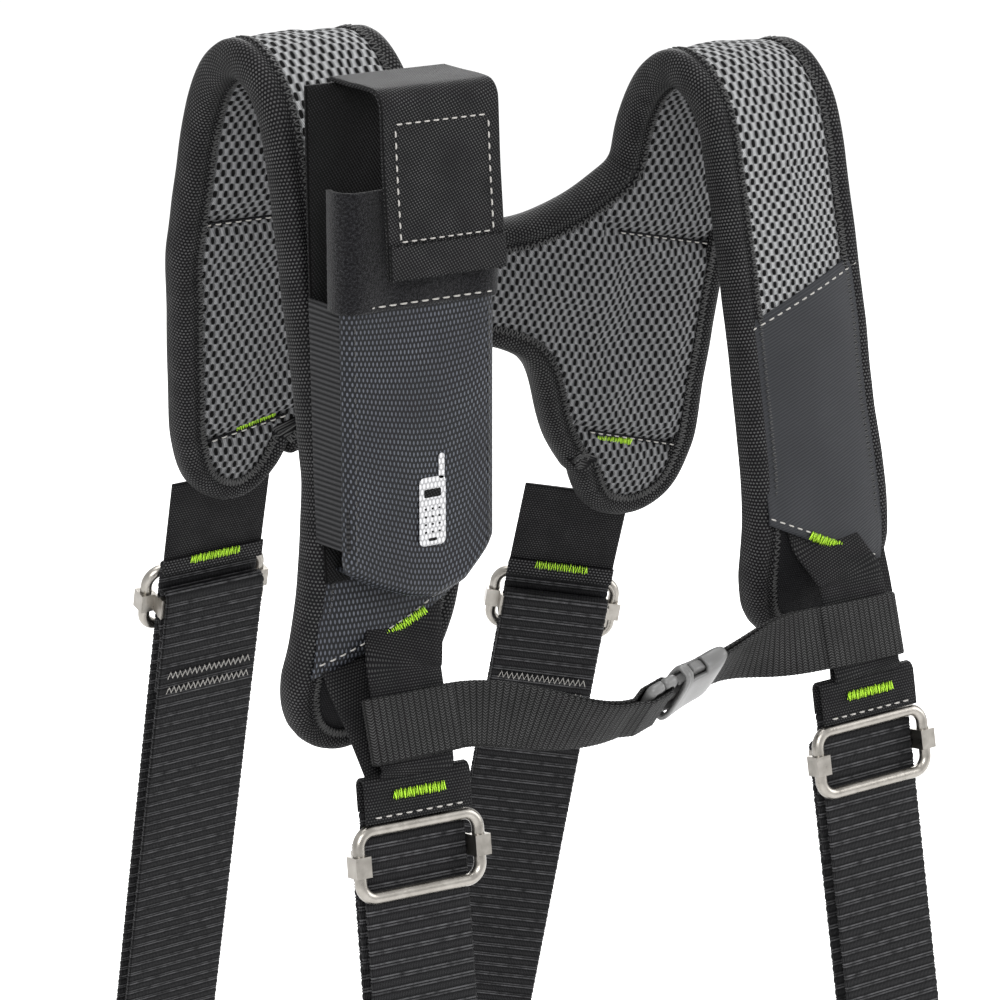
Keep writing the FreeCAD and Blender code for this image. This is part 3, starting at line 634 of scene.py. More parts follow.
def foot(side, front):
    """Edge of a pad's rounded foot, from its inner to its outer edge, in the chart."""
    if front:
        points = FRONT_FEET[side]
    else:
        wide = BACK_FOOT_OUTER[side]
        points = [(PAD_INNER, BACK_LOW + 22), (PAD_INNER + 10, BACK_LOW + 5),
                  ((PAD_INNER + wide) / 2, BACK_LOW), (wide - 9, BACK_LOW + 6), (wide, BACK_LOW + 25)]
    bend = np.concatenate([curve(points, 1.5), [(PAD_OUTER, -117.0 if front else BACK_LOW + 95)]])
    return np.stack([side * bend[:, 0], s_at(bend[:, 1], front)], 1)


def yoke_line(points):
    """Edge of the yoke in the chart, through points given as (x, height)."""
    x, z = curve(points, 1.5).T
    return np.stack([x, s_at(z + right_share(x) * (back_drop(z) - YOKE_DROP), False)], 1)


def body_outline():
    """The bound edge of the whole H-shaped body as one closed line in the chart."""
    top, low = yoke_line(YOKE_TOP), yoke_line(YOKE_LOW)
    left = np.concatenate([top[:1], foot(-1, True), foot(-1, False)[::-1], low[:1]])
    right = np.concatenate([low[-1:], foot(1, False), foot(1, True)[::-1], top[-1:]])
    loop = np.concatenate([left, low, right, top[::-1]])
    even = resample(loop, 1.5)[:-1]
    kernel = np.hanning(9)
    kernel /= kernel.sum()
    padded = np.concatenate([even[-8:], even, even[:8]])
    soft = np.stack([np.convolve(padded[:, k], kernel, "same") for k in (0, 1)], 1)
    return soft[8:-8]


OUTLINE = body_outline()


def edge_distance(x, s):
    """Distance in from the bound edge, negative outside it."""
    tree = kdtree.KDTree(len(OUTLINE))
    for i, p in enumerate(OUTLINE):
        tree.insert((p[0], p[1], 0), i)
    tree.balance()
    reach = np.array([tree.find((a, b, 0))[2] for a, b in zip(x.ravel(), s.ravel())]).reshape(x.shape)
    inside = np.zeros(x.shape, bool)
    after = np.roll(OUTLINE, -1, axis=0)
    for (x0, s0), (x1, s1) in zip(OUTLINE, after):
        if s0 == s1:
            continue
        crosses = ((s0 > s) != (s1 > s)) & (x < (x1 - x0) * (s - s0) / (s1 - s0) + x0)
        inside ^= crosses
    return np.where(inside, reach, -reach)


def seam_pull(x, s):
    """How much the quilting seams pull the padding down, 0 to 1."""
    z = np.interp(s, LINE_S, LINE_Z)
    back = s > LINE_S[TOP]
    pull = np.zeros(x.shape)
    for seams in (QUILT_SEAMS, LOBE_SEAMS):
        for side, heights in seams.items():
            on_pad = (x * side > PAD_INNER - 4) & back
            pull = np.maximum(pull, on_pad * np.exp(-(np.abs(z - seam_height(heights, x)) / 3.2) ** 1.5))
    return pull


def crown(x, s, edge, inner):
    """Depth of the padding's skin: it swells between the bound edge and the seams."""
    swell = 1 - np.exp(-np.clip(edge - 5, 0, None) / 8)
    height = HALF_STACK + CROWN * swell
    if inner:
        height = height - (CROWN + 0.8) * seam_pull(x, s)
    ripple = np.array([noise.noise((a * 0.035, b * 0.05, 3.0 if inner else 8.0))
                       for a, b in zip(x.ravel(), s.ravel())]).reshape(x.shape)
    return height + 0.6 * ripple * swell


def seam_height(heights, x):
    """Height of a slanting front seam at a distance x from the middle."""
    share = (np.abs(x) - PAD_INNER) / (PAD_OUTER - PAD_INNER)
    return heights[0] + (heights[1] - heights[0]) * share


def make_skins():
    """Lining and cover of the whole body, cut from one grid in the chart."""
    xs = np.arange(-126, 127, 2.0)
    ss = np.arange(-6, KNOTS[-1] + 7, 2.0)
    x, s = np.meshgrid(xs, ss)
    edge = edge_distance(x, s)
    z = np.interp(s, LINE_S, LINE_Z)
    front = s < LINE_S[TOP]
    foot_zone = front & (z < seam_height(SEAM_LOW, x) + 4)
    under_panel = front & (z < seam_height(SEAM_HIGH, x) + 3)
    corner = np.array(grid_faces(len(ss), len(xs)))
    kept = (edge.ravel()[corner] > 1.0).all(1)
    low = foot_zone.ravel()[corner].all(1)
    uvs = np.stack([x.ravel(), s.ravel()], 1)
    for inner in (True, False):
        points = place(x, s, crown(x, s, edge, inner) * (-1 if inner else 1))[0].reshape(-1, 3)
        word, tone = ("lining", "mesh_dark") if inner else ("cover", "mesh_light")
        faces = corner[kept & ~low]
        body, used = compact(f"padding_{word}", points, faces if inner else faces[:, ::-1], uvs, tone)
        bound = np.exp(-np.clip(edge - LIP + 1, 0, None) / 2.0)
        sewn = seam_pull(x, s) ** 0.5 if inner else under_panel | foot_zone
        inflate(body, np.maximum(bound, sewn).ravel()[used])
        nodes = [f"mesh_{word}_left", f"mesh_{word}_right", f"yoke_{word}"]
        if inner:
            nodes += ["foam_core_left", "foam_core_right", "yoke_foam"]
        cover(body, "harness", tone, *nodes)
        for name, side in SIDES.items():
            faces = corner[kept & low & (np.sign(x.ravel()[corner]).mean(1) == side)]
            faces = faces if inner else faces[:, ::-1]
            lobe, _ = compact(f"foot_{word}_{name}", points, faces, uvs, "facing")
            cover(lobe, "harness", "facing", *([] if inner else [f"foot_facing_{name}"]))


def inflate(piece, held):
    """Blows a skin up between its seams with the cloth solver, and keeps the result.

    held is 1 where the skin is sewn down and 0 where it is free.
    """
    rest = [point.co.copy() for point in piece.data.vertices]
    sewn = piece.vertex_groups.new(name="sewn")
    for i, weight in enumerate(held):
        if weight > 0.05:
            sewn.add([i], min(1.0, float(weight)), "REPLACE")
    solver = piece.modifiers.new("cloth", "CLOTH")
    settings = solver.settings
    settings.quality = 5
    settings.mass = 0.15
    settings.tension_stiffness = settings.compression_stiffness = 12.0
    settings.shear_stiffness = 5.0
    settings.bending_stiffness = 0.3
    settings.vertex_group_mass = sewn.name
    settings.shrink_min = -0.012
    settings.use_pressure = True
    settings.uniform_pressure_force = 4.0
    settings.effector_weights.gravity = 0.0
    solver.collision_settings.use_collision = False
    scene = bpy.context.scene
    solver.point_cache.frame_start, solver.point_cache.frame_end = 1, INFLATE_FRAMES
    for frame_number in range(1, INFLATE_FRAMES + 1):
        scene.frame_set(frame_number)
    shape = piece.evaluated_get(bpy.context.evaluated_depsgraph_get()).data
    blown = [point.co.copy() for point in shape.vertices]
    piece.modifiers.remove(solver)
    piece.vertex_groups.remove(sewn)
    scene.frame_set(1)
    for point, start, end in zip(piece.data.vertices, rest, blown):
        move = end - start
        if move.length > MOST_PUFF * MM:
            move = move * (MOST_PUFF * MM / move.length)
        point.co = start + move


def compact(name, points, faces, uvs, tone):
    """A piece with only the points its faces use, and the numbers of those points."""
    used, again = np.unique(faces, return_inverse=True)
    return make(name, points[used], again.reshape(faces.shape), uvs[used], tone), used


def make_seams():
    """Sewn lines across the lining, where it is quilted down to the foam."""
    for name, side in SIDES.items():
        x = side * np.arange(PAD_INNER + 3, PAD_OUTER - 5, 0.8)
        for word, heights in (("quilt", QUILT_SEAMS[side]), ("lobe", LOBE_SEAMS[side])):
            s = s_at(seam_height(heights, x), False)
            inside = edge_distance(x, s) > LIP - 1.5
            line, out = place(x[inside], s[inside], 0.5 - HALF_STACK)
            sew(f"{word}_seam_{name}", [line], 0.75, "facing", "harness", "mesh_dark")
            paths = stitch_paths(line - out * 0.75, -out, 2.3, 1.6)
            sew(f"{word}_stitches_{name}", paths, 0.28, "pale_thread", "harness", "mesh_dark")


def make_binding():
    """Tape folded round the body's edge, cut at the four corners of the yoke."""
    x, s = OUTLINE.T
    middle, out = place(x, s)
    along = np.roll(middle, -1, axis=0) - np.roll(middle, 1, axis=0)
    outward = unit(np.cross(out, unit(along)))
    count = len(OUTLINE)
    corners = [int(np.hypot(x - a, s - s_at(z, False)).argmin()) for a, z in YOKE_CORNERS]
    runs = {"edge_binding_left": (corners[0], corners[1]), "yoke_binding_low": (corners[1], corners[2]),
            "edge_binding_right": (corners[2], corners[3]), "yoke_binding_top": (corners[3], corners[0])}
    skin = np.array(BINDING_FOLD + [(a, -t) for a, t in BINDING_FOLD[::-1]])
    section = np.concatenate([skin, skin[::-1] * (1.0, 0.84) + (0.8, 0.0)])
    for name, (first, last) in runs.items():
        index = (first + np.arange(-1, (last - first) % count + 2)) % count
        v = chord(middle[index])
        waver = np.array([noise.noise((a * 0.06, 0.0, 5.0)) for a in v]) * 0.4
        edge = middle[index] + outward[index] * waver[:, None]
        points = (edge[:, None] - outward[index][:, None] * section[None, :, :1]
                  + out[index][:, None] * section[None, :, 1:])
        faces = grid_faces(len(index), len(section), wrap=True)
        tape = make(name + "_tape", points.reshape(-1, 3), faces, grid_uvs(chord(section), v), "binding")
        cover(tape, "harness", "binding", name)
        for word, sign in (("cover", 1), ("lining", -1)):
            seam = edge_loops(v, edge, outward[index], out[index] * sign)
            cover(threads(f"{name}_loops_{word}", [seam], 0.26, "grey_thread", 4), "harness", "binding")


def edge_loops(v, edge, outward, out):
    """The looped inner edge of the tape: one thread that swings to and fro along its lip."""
    at = np.arange(v[0] + 1, v[-1] - 1, LOOP_PITCH / 6)
    swing = 2 * np.pi * at / LOOP_PITCH
    across = (LIP - 1.0 + 1.3 * np.sin(swing))[:, None]
    height = (6.8 - 0.25 * np.sin(swing))[:, None]
    return at_along(at, v, edge) - at_along(at, v, outward) * across + at_along(at, v, out) * height


def make_panels():
    """Front panels between the two slanting seams, with their turned-in edges and stitching."""
    for name, side in SIDES.items():
        rows, columns = 60, 28
        across = np.linspace(PAD_INNER + 2.5, PAD_OUTER - 1.5, columns)
        w, a = np.meshgrid(np.linspace(0, 1, rows), across, indexing="ij")
        low, high = seam_height(SEAM_LOW, a), seam_height(SEAM_HIGH, a)
        height = low + (high - low) * w
        flare = np.clip((-117 - height) / 65, 0, 1) * (8 if side < 0 else 1.5) * np.clip((a - 85) / 28, 0, 1)
        x = side * (a + flare)
        s = s_at(height, True)
        edge = edge_distance(x, s)
        over_tapes = 1.9 * np.exp(-(w / 0.12) ** 2)
        turned_in = 0.5 * np.exp(-(np.minimum(w, 1 - w) * 40) ** 2)
        points, out = place(x, s, crown(x, s, edge, False) + 0.9 + over_tapes - turned_in)
        tone = "ballistic" if side < 0 else "panel"
        piece = make(f"front_panel_{name}_cloth", points.reshape(-1, 3), grid_faces(rows, columns),
                     np.stack([x.ravel(), s.ravel()], 1), tone)
        thicken(piece, 0.9)
        cover(piece, "harness", tone, f"front_panel_{name}")
        lines = [(points[row] + out[row] * 0.5, out[row]) for row in (2, rows - 3)]
        paths = [p for line, normal in lines for p in stitch_paths(line, normal, 2.3, 1.5)]
        sew(f"front_panel_{name}_stitches", paths, 0.3, "pale_thread", "harness", "panel")


# ---- straps ----
def strap_frame(name):
    """Origin, directions across, outwards and up, and length of one strap."""
    slider, ring, twist = STRAPS[name]
    slider, ring = np.array(slider, float), np.array(ring, float)
    up = unit(slider - ring)
    outward = -1.0 if name.startswith("front") else 1.0
    angle = math.radians(twist)
    out = np.array([-math.sin(angle) * outward, math.cos(angle) * outward, 0.0])
    across = unit(np.cross(out, up))
    return slider, across, np.cross(up, across), up, np.linalg.norm(slider - ring)


def local_path(name, points):
    """Points given as (sideways, outwards, upwards) from a strap's slider."""
    origin, across, out, up, _ = strap_frame(name)
    points = np.asarray(points, float)
    return origin + points[:, :1] * across + points[:, 1:2] * out + points[:, 2:] * up


def rib_swell(v):
    """Height of the cross ribs: one broad band, then two thin cords."""
    phase = np.mod(v, RIB_PITCH)
    broad = 0.3 * np.clip(np.sin(np.clip(phase, 0, 2.4) / 2.4 * np.pi), 0, None) ** 0.5
    cords = 0.36 * (np.exp(-((phase - 2.9) / 0.28) ** 2) + np.exp(-((phase - 3.85) / 0.28) ** 2))
    return broad + cords - 0.18


def ribbed_ribbon(name, strap, points, width):
    """Ribbed webbing through points (sideways, outwards, upwards) from the strap's slider."""
    path = resample(local_path(strap, points), 0.38)
    section = web_section(width, WEB_T - 0.15)
    return sweep(name, path, strap_frame(strap)[1], section, "ribbed_web", rib_swell)


def plain_ribbon(name, strap, points, width, thickness, tone):
    """Plain webbing through points like those of the ribbed one."""
    path = resample(local_path(strap, points), 1.2)
    return sweep(name, path, strap_frame(strap)[1], web_section(width, thickness), tone)


def stretch(piece, name, standing):
    """Bakes a strap layer's placement into its mesh; the ends between its slider and ring are worked out but
    not used.
    """
    origin, _, _, up, length = strap_frame(name)
    if standing:
        body, start, end = f"ring_{name}", origin + up * 17, origin + up * (5 - length)
    else:
        body, start, end = f"slider_{name}", origin - up * (2 * length), origin
    tuple(start * MM)
    tuple(end * MM)
    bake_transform(piece)


def make_straps():
    """Each strap: down to its ring, round it, back up and round the slider's bar."""
    for name in CORNERS:
        length = strap_frame(name)[4]
        path = [(0, WEB_T / 2, STRAP_TOP - 11), (0, WEB_T / 2, 4.3 - length)]
        standing = ribbed_ribbon(f"strap_standing_{name}_web", name, path, WEB)
        cover(standing, None, "ribbed_web", f"strap_standing_{name}")
        stretch(standing, name, True)
        path = [(0, WEB_T / 2 - 0.3, 9 - length)] + arc(RING_Y, -length, 3.2, 0, -180, 16)
        path += [(0, RETURN_Y + 0.3, 9 - length)]
        turn = ribbed_ribbon(f"strap_turn_{name}_web", name, path, WEB - 0.4)
        cover(turn, f"ring_{name}", "ribbed_web")
        path = [(0, RETURN_Y, 5 - length), (0, RETURN_Y, -4)] + arc(-3.3, 4.2, 2.2, 180, 0, 14)
        path += [(0, -1.0, -5), (0, -3.9, -13), (0, -3.9, -36)]
        back = ribbed_ribbon(f"strap_return_{name}_web", name, path, WEB)
        cover(back, None, "ribbed_web", f"strap_return_{name}")
        stretch(back, name, False)
        tail = local_path(name, [(x, RETURN_Y - 1.15, z) for z in (-28, -34.5) for x in (-17, 17)])
        inward = -strap_frame(name)[2]
        paths = [zigzag((a + b) / 2, unit(b - a), strap_frame(name)[3], inward, 34, 0.95)
                 for a, b in (tail[:2], tail[2:])]
        sew(f"strap_tail_stitches_{name}", paths, 0.34, "pale_thread", f"slider_{name}", "ribbed_web")
        if name.startswith("front"):
            make_hem(name)


def make_hem(name):
    """Top of a front strap, folded forwards over the two tapes and stitched."""
    top = STRAP_TOP - 2.2
    path = [(0, WEB_T / 2 + 0.1, 17.5), (0, WEB_T / 2 + 0.1, top)]
    path += arc(3.3, top, 2.4, 180, 0, 10)[1:]
    path += [(0, 5.75, 22), (0, 5.6, 13.6)]
    hem = plain_ribbon(f"strap_hem_{name}", name, path, WEB + 1.0, 1.3, "plain_web")
    cover(hem, "harness", "plain_web")
    out = strap_frame(name)[2]
    line = local_path(name, [(x, 6.45, 15.5) for x in (-17, 17)])
    paths = stitch_paths(resample(line, 0.5), out, 2.3, 1.6)
    sew(f"strap_hem_stitches_{name}", paths, 0.32, "pale_thread", "harness", "plain_web")


def belt_loops():
    """Sewn belt loops below the rings, in the CAD loops' place."""
    neck, low = -12.0, -68.4
    eye_path = [(2.0, neck + 5), (3.2, -0.6), (2.2, 2.2), (0, 3.2), (-2.2, 2.2), (-3.2, -0.6), (-0.9, -4.8),
                (-0.9, neck), (-2.2, neck - 1.0), (-5.2, neck - 3.6)]
    slot_path = [(-5.8, neck - 8), (-5.8, low + 6.4), (-4.4, low + 1), (0, low), (4.4, low + 1),
                 (5.8, low + 6.4), (5.8, neck - 8), (5.2, neck - 3.6), (2.4, neck - 1.0), (1.0, neck + 1.5)]
    for name in CORNERS:
        origin, across, out, up, length = strap_frame(name)
        eye = origin + out * RING_Y - up * (length + 24)
        plumb = unit(np.array([0, 0, 1.0]) - across * across[2])
        fore = np.cross(plumb, across)
        line = curve([eye + fore * y + plumb * z for y, z in eye_path + slot_path], 0.8)
        loop = f"belt_loop_{name}"
        webbing(f"{loop}_web", line, across, (38, 1.5), "plain_web", f"loop_{name}", "plain_web", loop)


# ---- tapes, stubs and bar tacks ----
def make_front_tapes(name, side):
    """The two tapes that come out under a front panel and end in the strap's hem."""
    strap = f"front_{name}"
    lie = WEB_T + 0.85
    bend, end = local_path(strap, [(0, lie, STRAP_TOP - 1), (0, lie, TAPE_LOW + 2)])
    rear = soft_line([(side * 102, -51.0, -166), (side * 102, -53.0, -175), (side * 101.5, -57.5, -184),
                      (side * 99, -64.0, -195), (side * 95, *bend[1:]), (side * 94, *end[1:])])
    tape = f"front_tape_outer_{name}"
    webbing(f"{tape}_web", rear, (1, 0, 0), (30, 1.4), "plain_web", "harness", "plain_web", tape)
    lie = WEB_T + 2.45
    bend, end = local_path(strap, [(0, lie, STRAP_TOP - 2), (0, lie, TAPE_LOW + 2)])
    inner = soft_line([(side * 85.5, -56.0, -160), (side * 86.3, -57.9, -167), (side * 92, -66.3, -179),
                       (side * 93, -76.6, -212), (side * 94, *bend[1:]), (side * 94, *end[1:])], 1.0, 4)
    tape = f"front_tape_inner_{name}"
    webbing(f"{tape}_web", inner, (1, 0, 0), (28, 1.4), "plain_web", "harness", "plain_web", tape)


def make_back_stub(name, side):
    """The one tape at a back foot, with its turned end."""
    strap = f"back_{name}"
    origin, across, out, up, _ = strap_frame(strap)
    low = BACK_LOW - 4 - drop(np.array(side * 84.0), np.array(KNOTS[-1] - 2))
    top = np.array([side * 84, 76, float(low) + 8]) - origin
    path = [(0, float(top @ out), float(top @ up)), (0, -0.9, STRAP_TOP - 8), (0, -0.9, TAPE_LOW - 2)]
    line = soft_line(local_path(strap, path))
    stub = f"back_stub_{name}"
    webbing(f"{stub}_web", line, across, (WEB, 1.5), "plain_web", "harness", "plain_web", stub)
    path = [(0, -2.1, 19.5), (0, -2.1, TAPE_LOW - 2.2)]
    turn = plain_ribbon(f"back_stub_hem_{name}", strap, path, WEB + 0.6, 1.1, "binding")
    cover(turn, "harness", "plain_web")


def zigzag(middle, along, across, out, length, pitch=0.42):
    """A dense zigzag of thread lying on cloth."""
    count = int(length / pitch)
    steps = np.arange(count)
    sway = 1.3 * np.where(steps % 2, 1, -1) * (1 + 0.12 * np.sin(steps * 2.3))
    ride = 0.35 + 0.12 * np.cos(steps * 1.7)
    return (middle + along * (steps / (count - 1) - 0.5)[:, None] * length
            + across * sway[:, None] + out * ride[:, None])


def make_tacks():
    """Lime bar tacks at every joint that carries load."""
    paths = []
    for name in CORNERS:
        _, across, out, up, _ = strap_frame(name)
        front = name.startswith("front")
        spot = (0, 6.4, TAPE_LOW + 7) if front else (0, -2.75, TAPE_LOW + 3)
        face = out if front else -out
        paths.append(zigzag(local_path(name, [spot])[0], across, up, face, 20))
    for side in SIDES.values():
        for away, z, front, length, tilt in ((88, -167.0, True, 19, 0.45), (76, -125.0, False, 16, 0.2)):
            x, s = np.array([[side * away]]), np.array([[s_at(z, front)]])
            depth = crown(x, s, edge_distance(x, s), not front)[0, 0]
            point, out = place(x[0, 0], s[0, 0], (depth + 3.3) if front else 0.6 - depth)
            along = unit(np.array([1.0, 0, -tilt * side]))
            face = out if front else -out
            paths.append(zigzag(point, along, unit(np.cross(face, along)), face, length))
    tacks = threads("bar_tacks", paths, 0.48, "green_thread")
    cover(tacks, "harness", "green_thread", "bartacks")


# ---- phone pocket ----
POCKET_X = (-117.0, -60.0)
POCKET_Z = (-150.0, -18.0)
POCKET_Y, BAG_TOP = -73.0, -52.0       # front of the pocket, and where its bag meets the loop strip
WALL_END, FLOOR_END = -51.0, -57.5     # how far back the right wall and the floor go
FLOOR_ROUND = 5.0
POCKET_BACK = [(-56.3, -150), (-52.0, -112), (-48.5, -60), (-47.0, 12.1)]
POCKET_HEM = [(-117, -142), (-105, -149), (-93, -154), (-82, -156), (-72, -152.5), (-64, -144), (-60, -139)]
LOOP_LOW = -57.0               # lower edge of the loop strip
FLAP_X, FLAP_TOP = (-106.0, -62.0), 13.2
MARK_AT = (-86.0, -137.0)      # middle of the printed handset's foot, as (x, z)


def pocket_depth(z):
    """Where the pocket's back wall is at a height."""
    line = np.array(POCKET_BACK)
    return np.interp(z, line[:, 1], line[:, 0])


def pocket_skin():
    """Front, right wall and floor as one bag: plan path across, rounded in at the bottom."""
    x0, x1 = POCKET_X
    plan = [(x0, POCKET_Y + 2.4), (x0 + 0.6, POCKET_Y + 0.8), (x0 + 2.5, POCKET_Y)]
    plan += [(x, POCKET_Y) for x in np.linspace(x0 + 6, x1 - 6, 22)]
    plan += [(x1 - 3.2, POCKET_Y + 0.35), (x1 - 1.2, POCKET_Y + 1.5), (x1 - 0.2, POCKET_Y + 3.6)]
    plan += [(x1, y) for y in np.linspace(POCKET_Y + 6, WALL_END, 8)]
    plan = resample(np.array(plan), 1.5)
    low = POCKET_Z[0]
    rows = []
    for z in np.linspace(BAG_TOP, low + FLOOR_ROUND, 50):
        belly = 1.2 * math.sin(math.pi * min(1, max(0, (z - low) / (BAG_TOP - low))))
        row = np.column_stack([plan, np.full(len(plan), z)])
        bulge = np.clip(1 - ((row[:, 0] - (x0 + x1) / 2) / 27) ** 2, 0, 1) * (row[:, 1] < POCKET_Y + 2)
        row[:, 1] -= belly * bulge
        rows.append(row)
    base = rows[-1]
    for turn in np.radians(np.linspace(12, 90, 8)):
        shrink = FLOOR_ROUND * (1 - math.cos(turn))
        rows.append(np.column_stack([np.clip(base[:, 0], x0 + shrink, x1 - shrink),
                                     np.minimum(base[:, 1] + shrink, WALL_END),
                                     np.full(len(plan), low + FLOOR_ROUND * (1 - math.sin(turn)))]))
    back = rows[-1]
    for share in (0.3, 0.6, 1.0):
        row = back.copy()
        row[:, 1] += (FLOOR_END - row[:, 1]) * share * (row[:, 1] < FLOOR_END)
        rows.append(row)
    rows = np.array(rows)
    sag = np.interp(rows[:, :, 0], *zip(*POCKET_HEM)) - BAG_TOP
    rows[:, :, 2] = BAG_TOP + (rows[:, :, 2] - BAG_TOP) * sag / (low - BAG_TOP)
    return rows, plan


def make_pocket():
    """The phone pocket with its back wall, elastic side, loop strip, flap and print."""
    rows, plan = pocket_skin()
    count, columns = rows.shape[:2]
    uvs = grid_uvs(chord(plan), chord(rows[:, columns // 2]))
    bag = make("pocket_front_cloth", rows.reshape(-1, 3), grid_faces(count, columns), uvs, "ballistic")
    thicken(bag, 1.4)
    cover(bag, "harness", "ballistic", "pocket_front")
    x0, x1 = POCKET_X
    middle = (x0 + x1) / 2
    line = curve([(middle, y, z) for y, z in POCKET_BACK], 2.0)
    # painted shade: the back wall gets the darker copy of the twill
    webbing("pocket_back_cloth", line, (1, 0, 0), (x1 - x0 - 3, 1.5), "shade_and_print_twill", "harness",
            "ballistic", "pocket_back")
    side = [(x0 + 0.7, (pocket_depth(z) + POCKET_Y + 1) / 2, z) for z in np.linspace(-136, LOOP_LOW + 1, 90)]
    depth = abs(pocket_depth(-100) - POCKET_Y) - 1
    webbing("pocket_elastic_web", side, (0, 1, 0), (depth, 1.3), "elastic", "harness", "elastic",
            "pocket_elastic")
    make_loop_strip()
    make_flap()
    make_pictogram()
    paths = []
    for x, y in ((x1 - 3.4, POCKET_Y - 0.65), (x0 + 3.2, POCKET_Y - 0.75)):
        line = [(x, y, z) for z in np.arange(-140, LOOP_LOW, 0.7)]
        paths += stitch_paths(line, (0, -1, 0), 2.3, 1.5)
    sew("pocket_edge_stitches", paths, 0.22, "grey_thread", "harness", "ballistic")


def make_loop_strip():
    """Fuzzy strip across the pocket's mouth, with ears that turn back at both ends."""
    x0, x1 = POCKET_X[0] - 1, POCKET_X[1] + 1
    y = POCKET_Y - 0.8
    plan = curve([(x0 + 0.4, y + 9, 0), (x0 + 0.3, y + 3, 0), (x0 + 2.5, y + 0.2, 0), (x0 + 14, y, 0),
                  ((x0 + x1) / 2, y - 0.3, 0), (x1 - 12, y, 0), (x1 - 2.5, y + 0.2, 0), (x1 - 0.3, y + 3, 0),
                  (x1 - 0.4, y + 9, 0)], 1.0)
    heights = np.linspace(LOOP_LOW, POCKET_Z[1], 46)
    grid = np.array([plan + (0, 0, z) for z in heights])
    fuzz = np.array([noise.noise(Vector(p) * 1.7) for p in grid.reshape(-1, 3)]).reshape(grid.shape[:2])
    grid[:, :, 1] += 0.3 * fuzz
    faces = grid_faces(len(heights), len(plan))
    uvs = grid_uvs(chord(plan), heights)
    strip = make("pocket_loop_strip_pile", grid.reshape(-1, 3), faces, uvs, "fuzzy_loop")
    thicken(strip, 1.6)
    cover(strip, "harness", "fuzzy_loop", "pocket_loop_strip")
    line = [(x, y - 1.1, LOOP_LOW + 1.6) for x in np.arange(x0 + 4, x1 - 3, 0.7)]
    paths = stitch_paths(line, (0, -1, 0), 2.6, 1.4)
    sew("pocket_mouth_stitches", paths, 0.34, "pale_thread", "harness", "fuzzy_loop")


def flap_path():
    """Side view of the flap as (y, z), from its front hem over the top to the hinge."""
    y = POCKET_Y - 4.0
    arch = [(y, z) for _, y, z in arc(y + 6, FLAP_TOP - 6, 6, 180, 90, 7)]
    return [(y - 4, -46), (y - 3.3, -34), (y - 1.2, -12)] + arch + [(y + 18, FLAP_TOP), (-46.2, FLAP_TOP)]


def make_flap():
    """The flap from its front hem to its hinge behind the pocket; its hem, hooks and stitches go with the
    flap's body.
    """
    x0, x1 = FLAP_X
    middle = (x0 + x1) / 2
    line = curve([(middle, y, z) for y, z in flap_path()], 1.0)
    flap = sweep("pocket_flap_cloth", line, (1, 0, 0), web_section(x1 - x0, 1.6, 24), "twill")
    cover(flap, None, "twill", "pocket_flap")
    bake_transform(flap)
    fold = line[:12] + (0, -1.35, 0)
    hem = sweep("pocket_flap_hem", fold, (1, 0, 0), web_section(x1 - x0 - 0.4, 1.1, 24), "twill")
    cover(hem, "flap", "twill")
    patch = [(middle, -77.9 + 0.0667 * (z + 20) + 1.2, z) for z in np.linspace(-41, -20, 20)]
    webbing("flap_hook_patch_pile", patch, (1, 0, 0), (x1 - x0 - 8, 1.1), "hook_patch", "flap",
            "hook_patch", "flap_hook_patch")
    sew("flap_stitches", flap_seams(line), 0.3, "pale_thread", "flap", "twill")


def flap_seams(line):
    """Stitches of the box sewn on the flap's face, which holds the hook patch behind it."""
    x0, x1 = FLAP_X
    middle = (x0 + x1) / 2
    face = line + unit(np.cross((1, 0, 0), np.gradient(line, axis=0))) * 0.85
    heights = line[:, 2]
    front = np.arange(len(line)) < int(np.argmax(heights > 6))
    low, high = -34.0, 3.0
    paths = []
    for z in (high, low):
        spot = at_along(np.array([z]), heights[front], face[front])
        bar = [spot[0] + (x - middle, 0, 0) for x in np.arange(x0 + 5, x1 - 4.5, 0.6)]
        paths += stitch_paths(bar, (0, -1, 0), 2.2, 1.2)
    inside = front & (heights > low) & (heights < high)
    for x in (x0 + 5, x1 - 4.5):
        paths += stitch_paths(face[inside] + (x - middle, 0, 0), (0, -1, 0), 2.2, 1.4)
    return paths


def rounded_bar(x0, x1, z0, z1, corner, out):
    """Outline of a printed bar with rounded corners, this far out from the pocket's front."""
    loop = []
    for sx, sz, start in ((1, 1, 0), (-1, 1, 90), (-1, -1, 180), (1, -1, 270)):
        for turn in np.radians([start, start + 30, start + 60, start + 90]):
            x = (x1 if sx > 0 else x0) - sx * corner + corner * math.cos(turn)
            z = (z1 if sz > 0 else z0) - sz * corner + corner * math.sin(turn)
            loop.append((MARK_AT[0] + x, POCKET_Y - out, MARK_AT[1] + z))
    return loop


def make_pictogram():
    """Generic printed handset: a filled body with an aerial, a screen slot and faint keys."""
    body = [(-5.0, 5.0, 0, 23.0, 1.8), (2.4, 4.6, 22, 30.5, 1.0)]
    details = [(-3.2, 3.2, 16.2, 19.0, 0.6), (-1.6, 1.6, 1.5, 2.5, 0.4)]
    details += [(a - 0.42, a + 0.42, b, b + 0.7, 0.2) for a in (-2.6, 0, 2.6) for b in (4.2, 6.8, 9.4, 12.0)]
    for name, bars, out, tone in (("handset_body", body, 2.15, "print_ink"),
                                  ("handset_details", details, 2.22, "shade_and_print_twill")):
        loops = np.array([rounded_bar(*bar, out) for bar in bars])
        faces = np.arange(loops.shape[0] * loops.shape[1]).reshape(loops.shape[:2])
        points = loops.reshape(-1, 3)
        cover(make(name, points, faces, points[:, [0, 2]], tone), "harness", "ballistic")


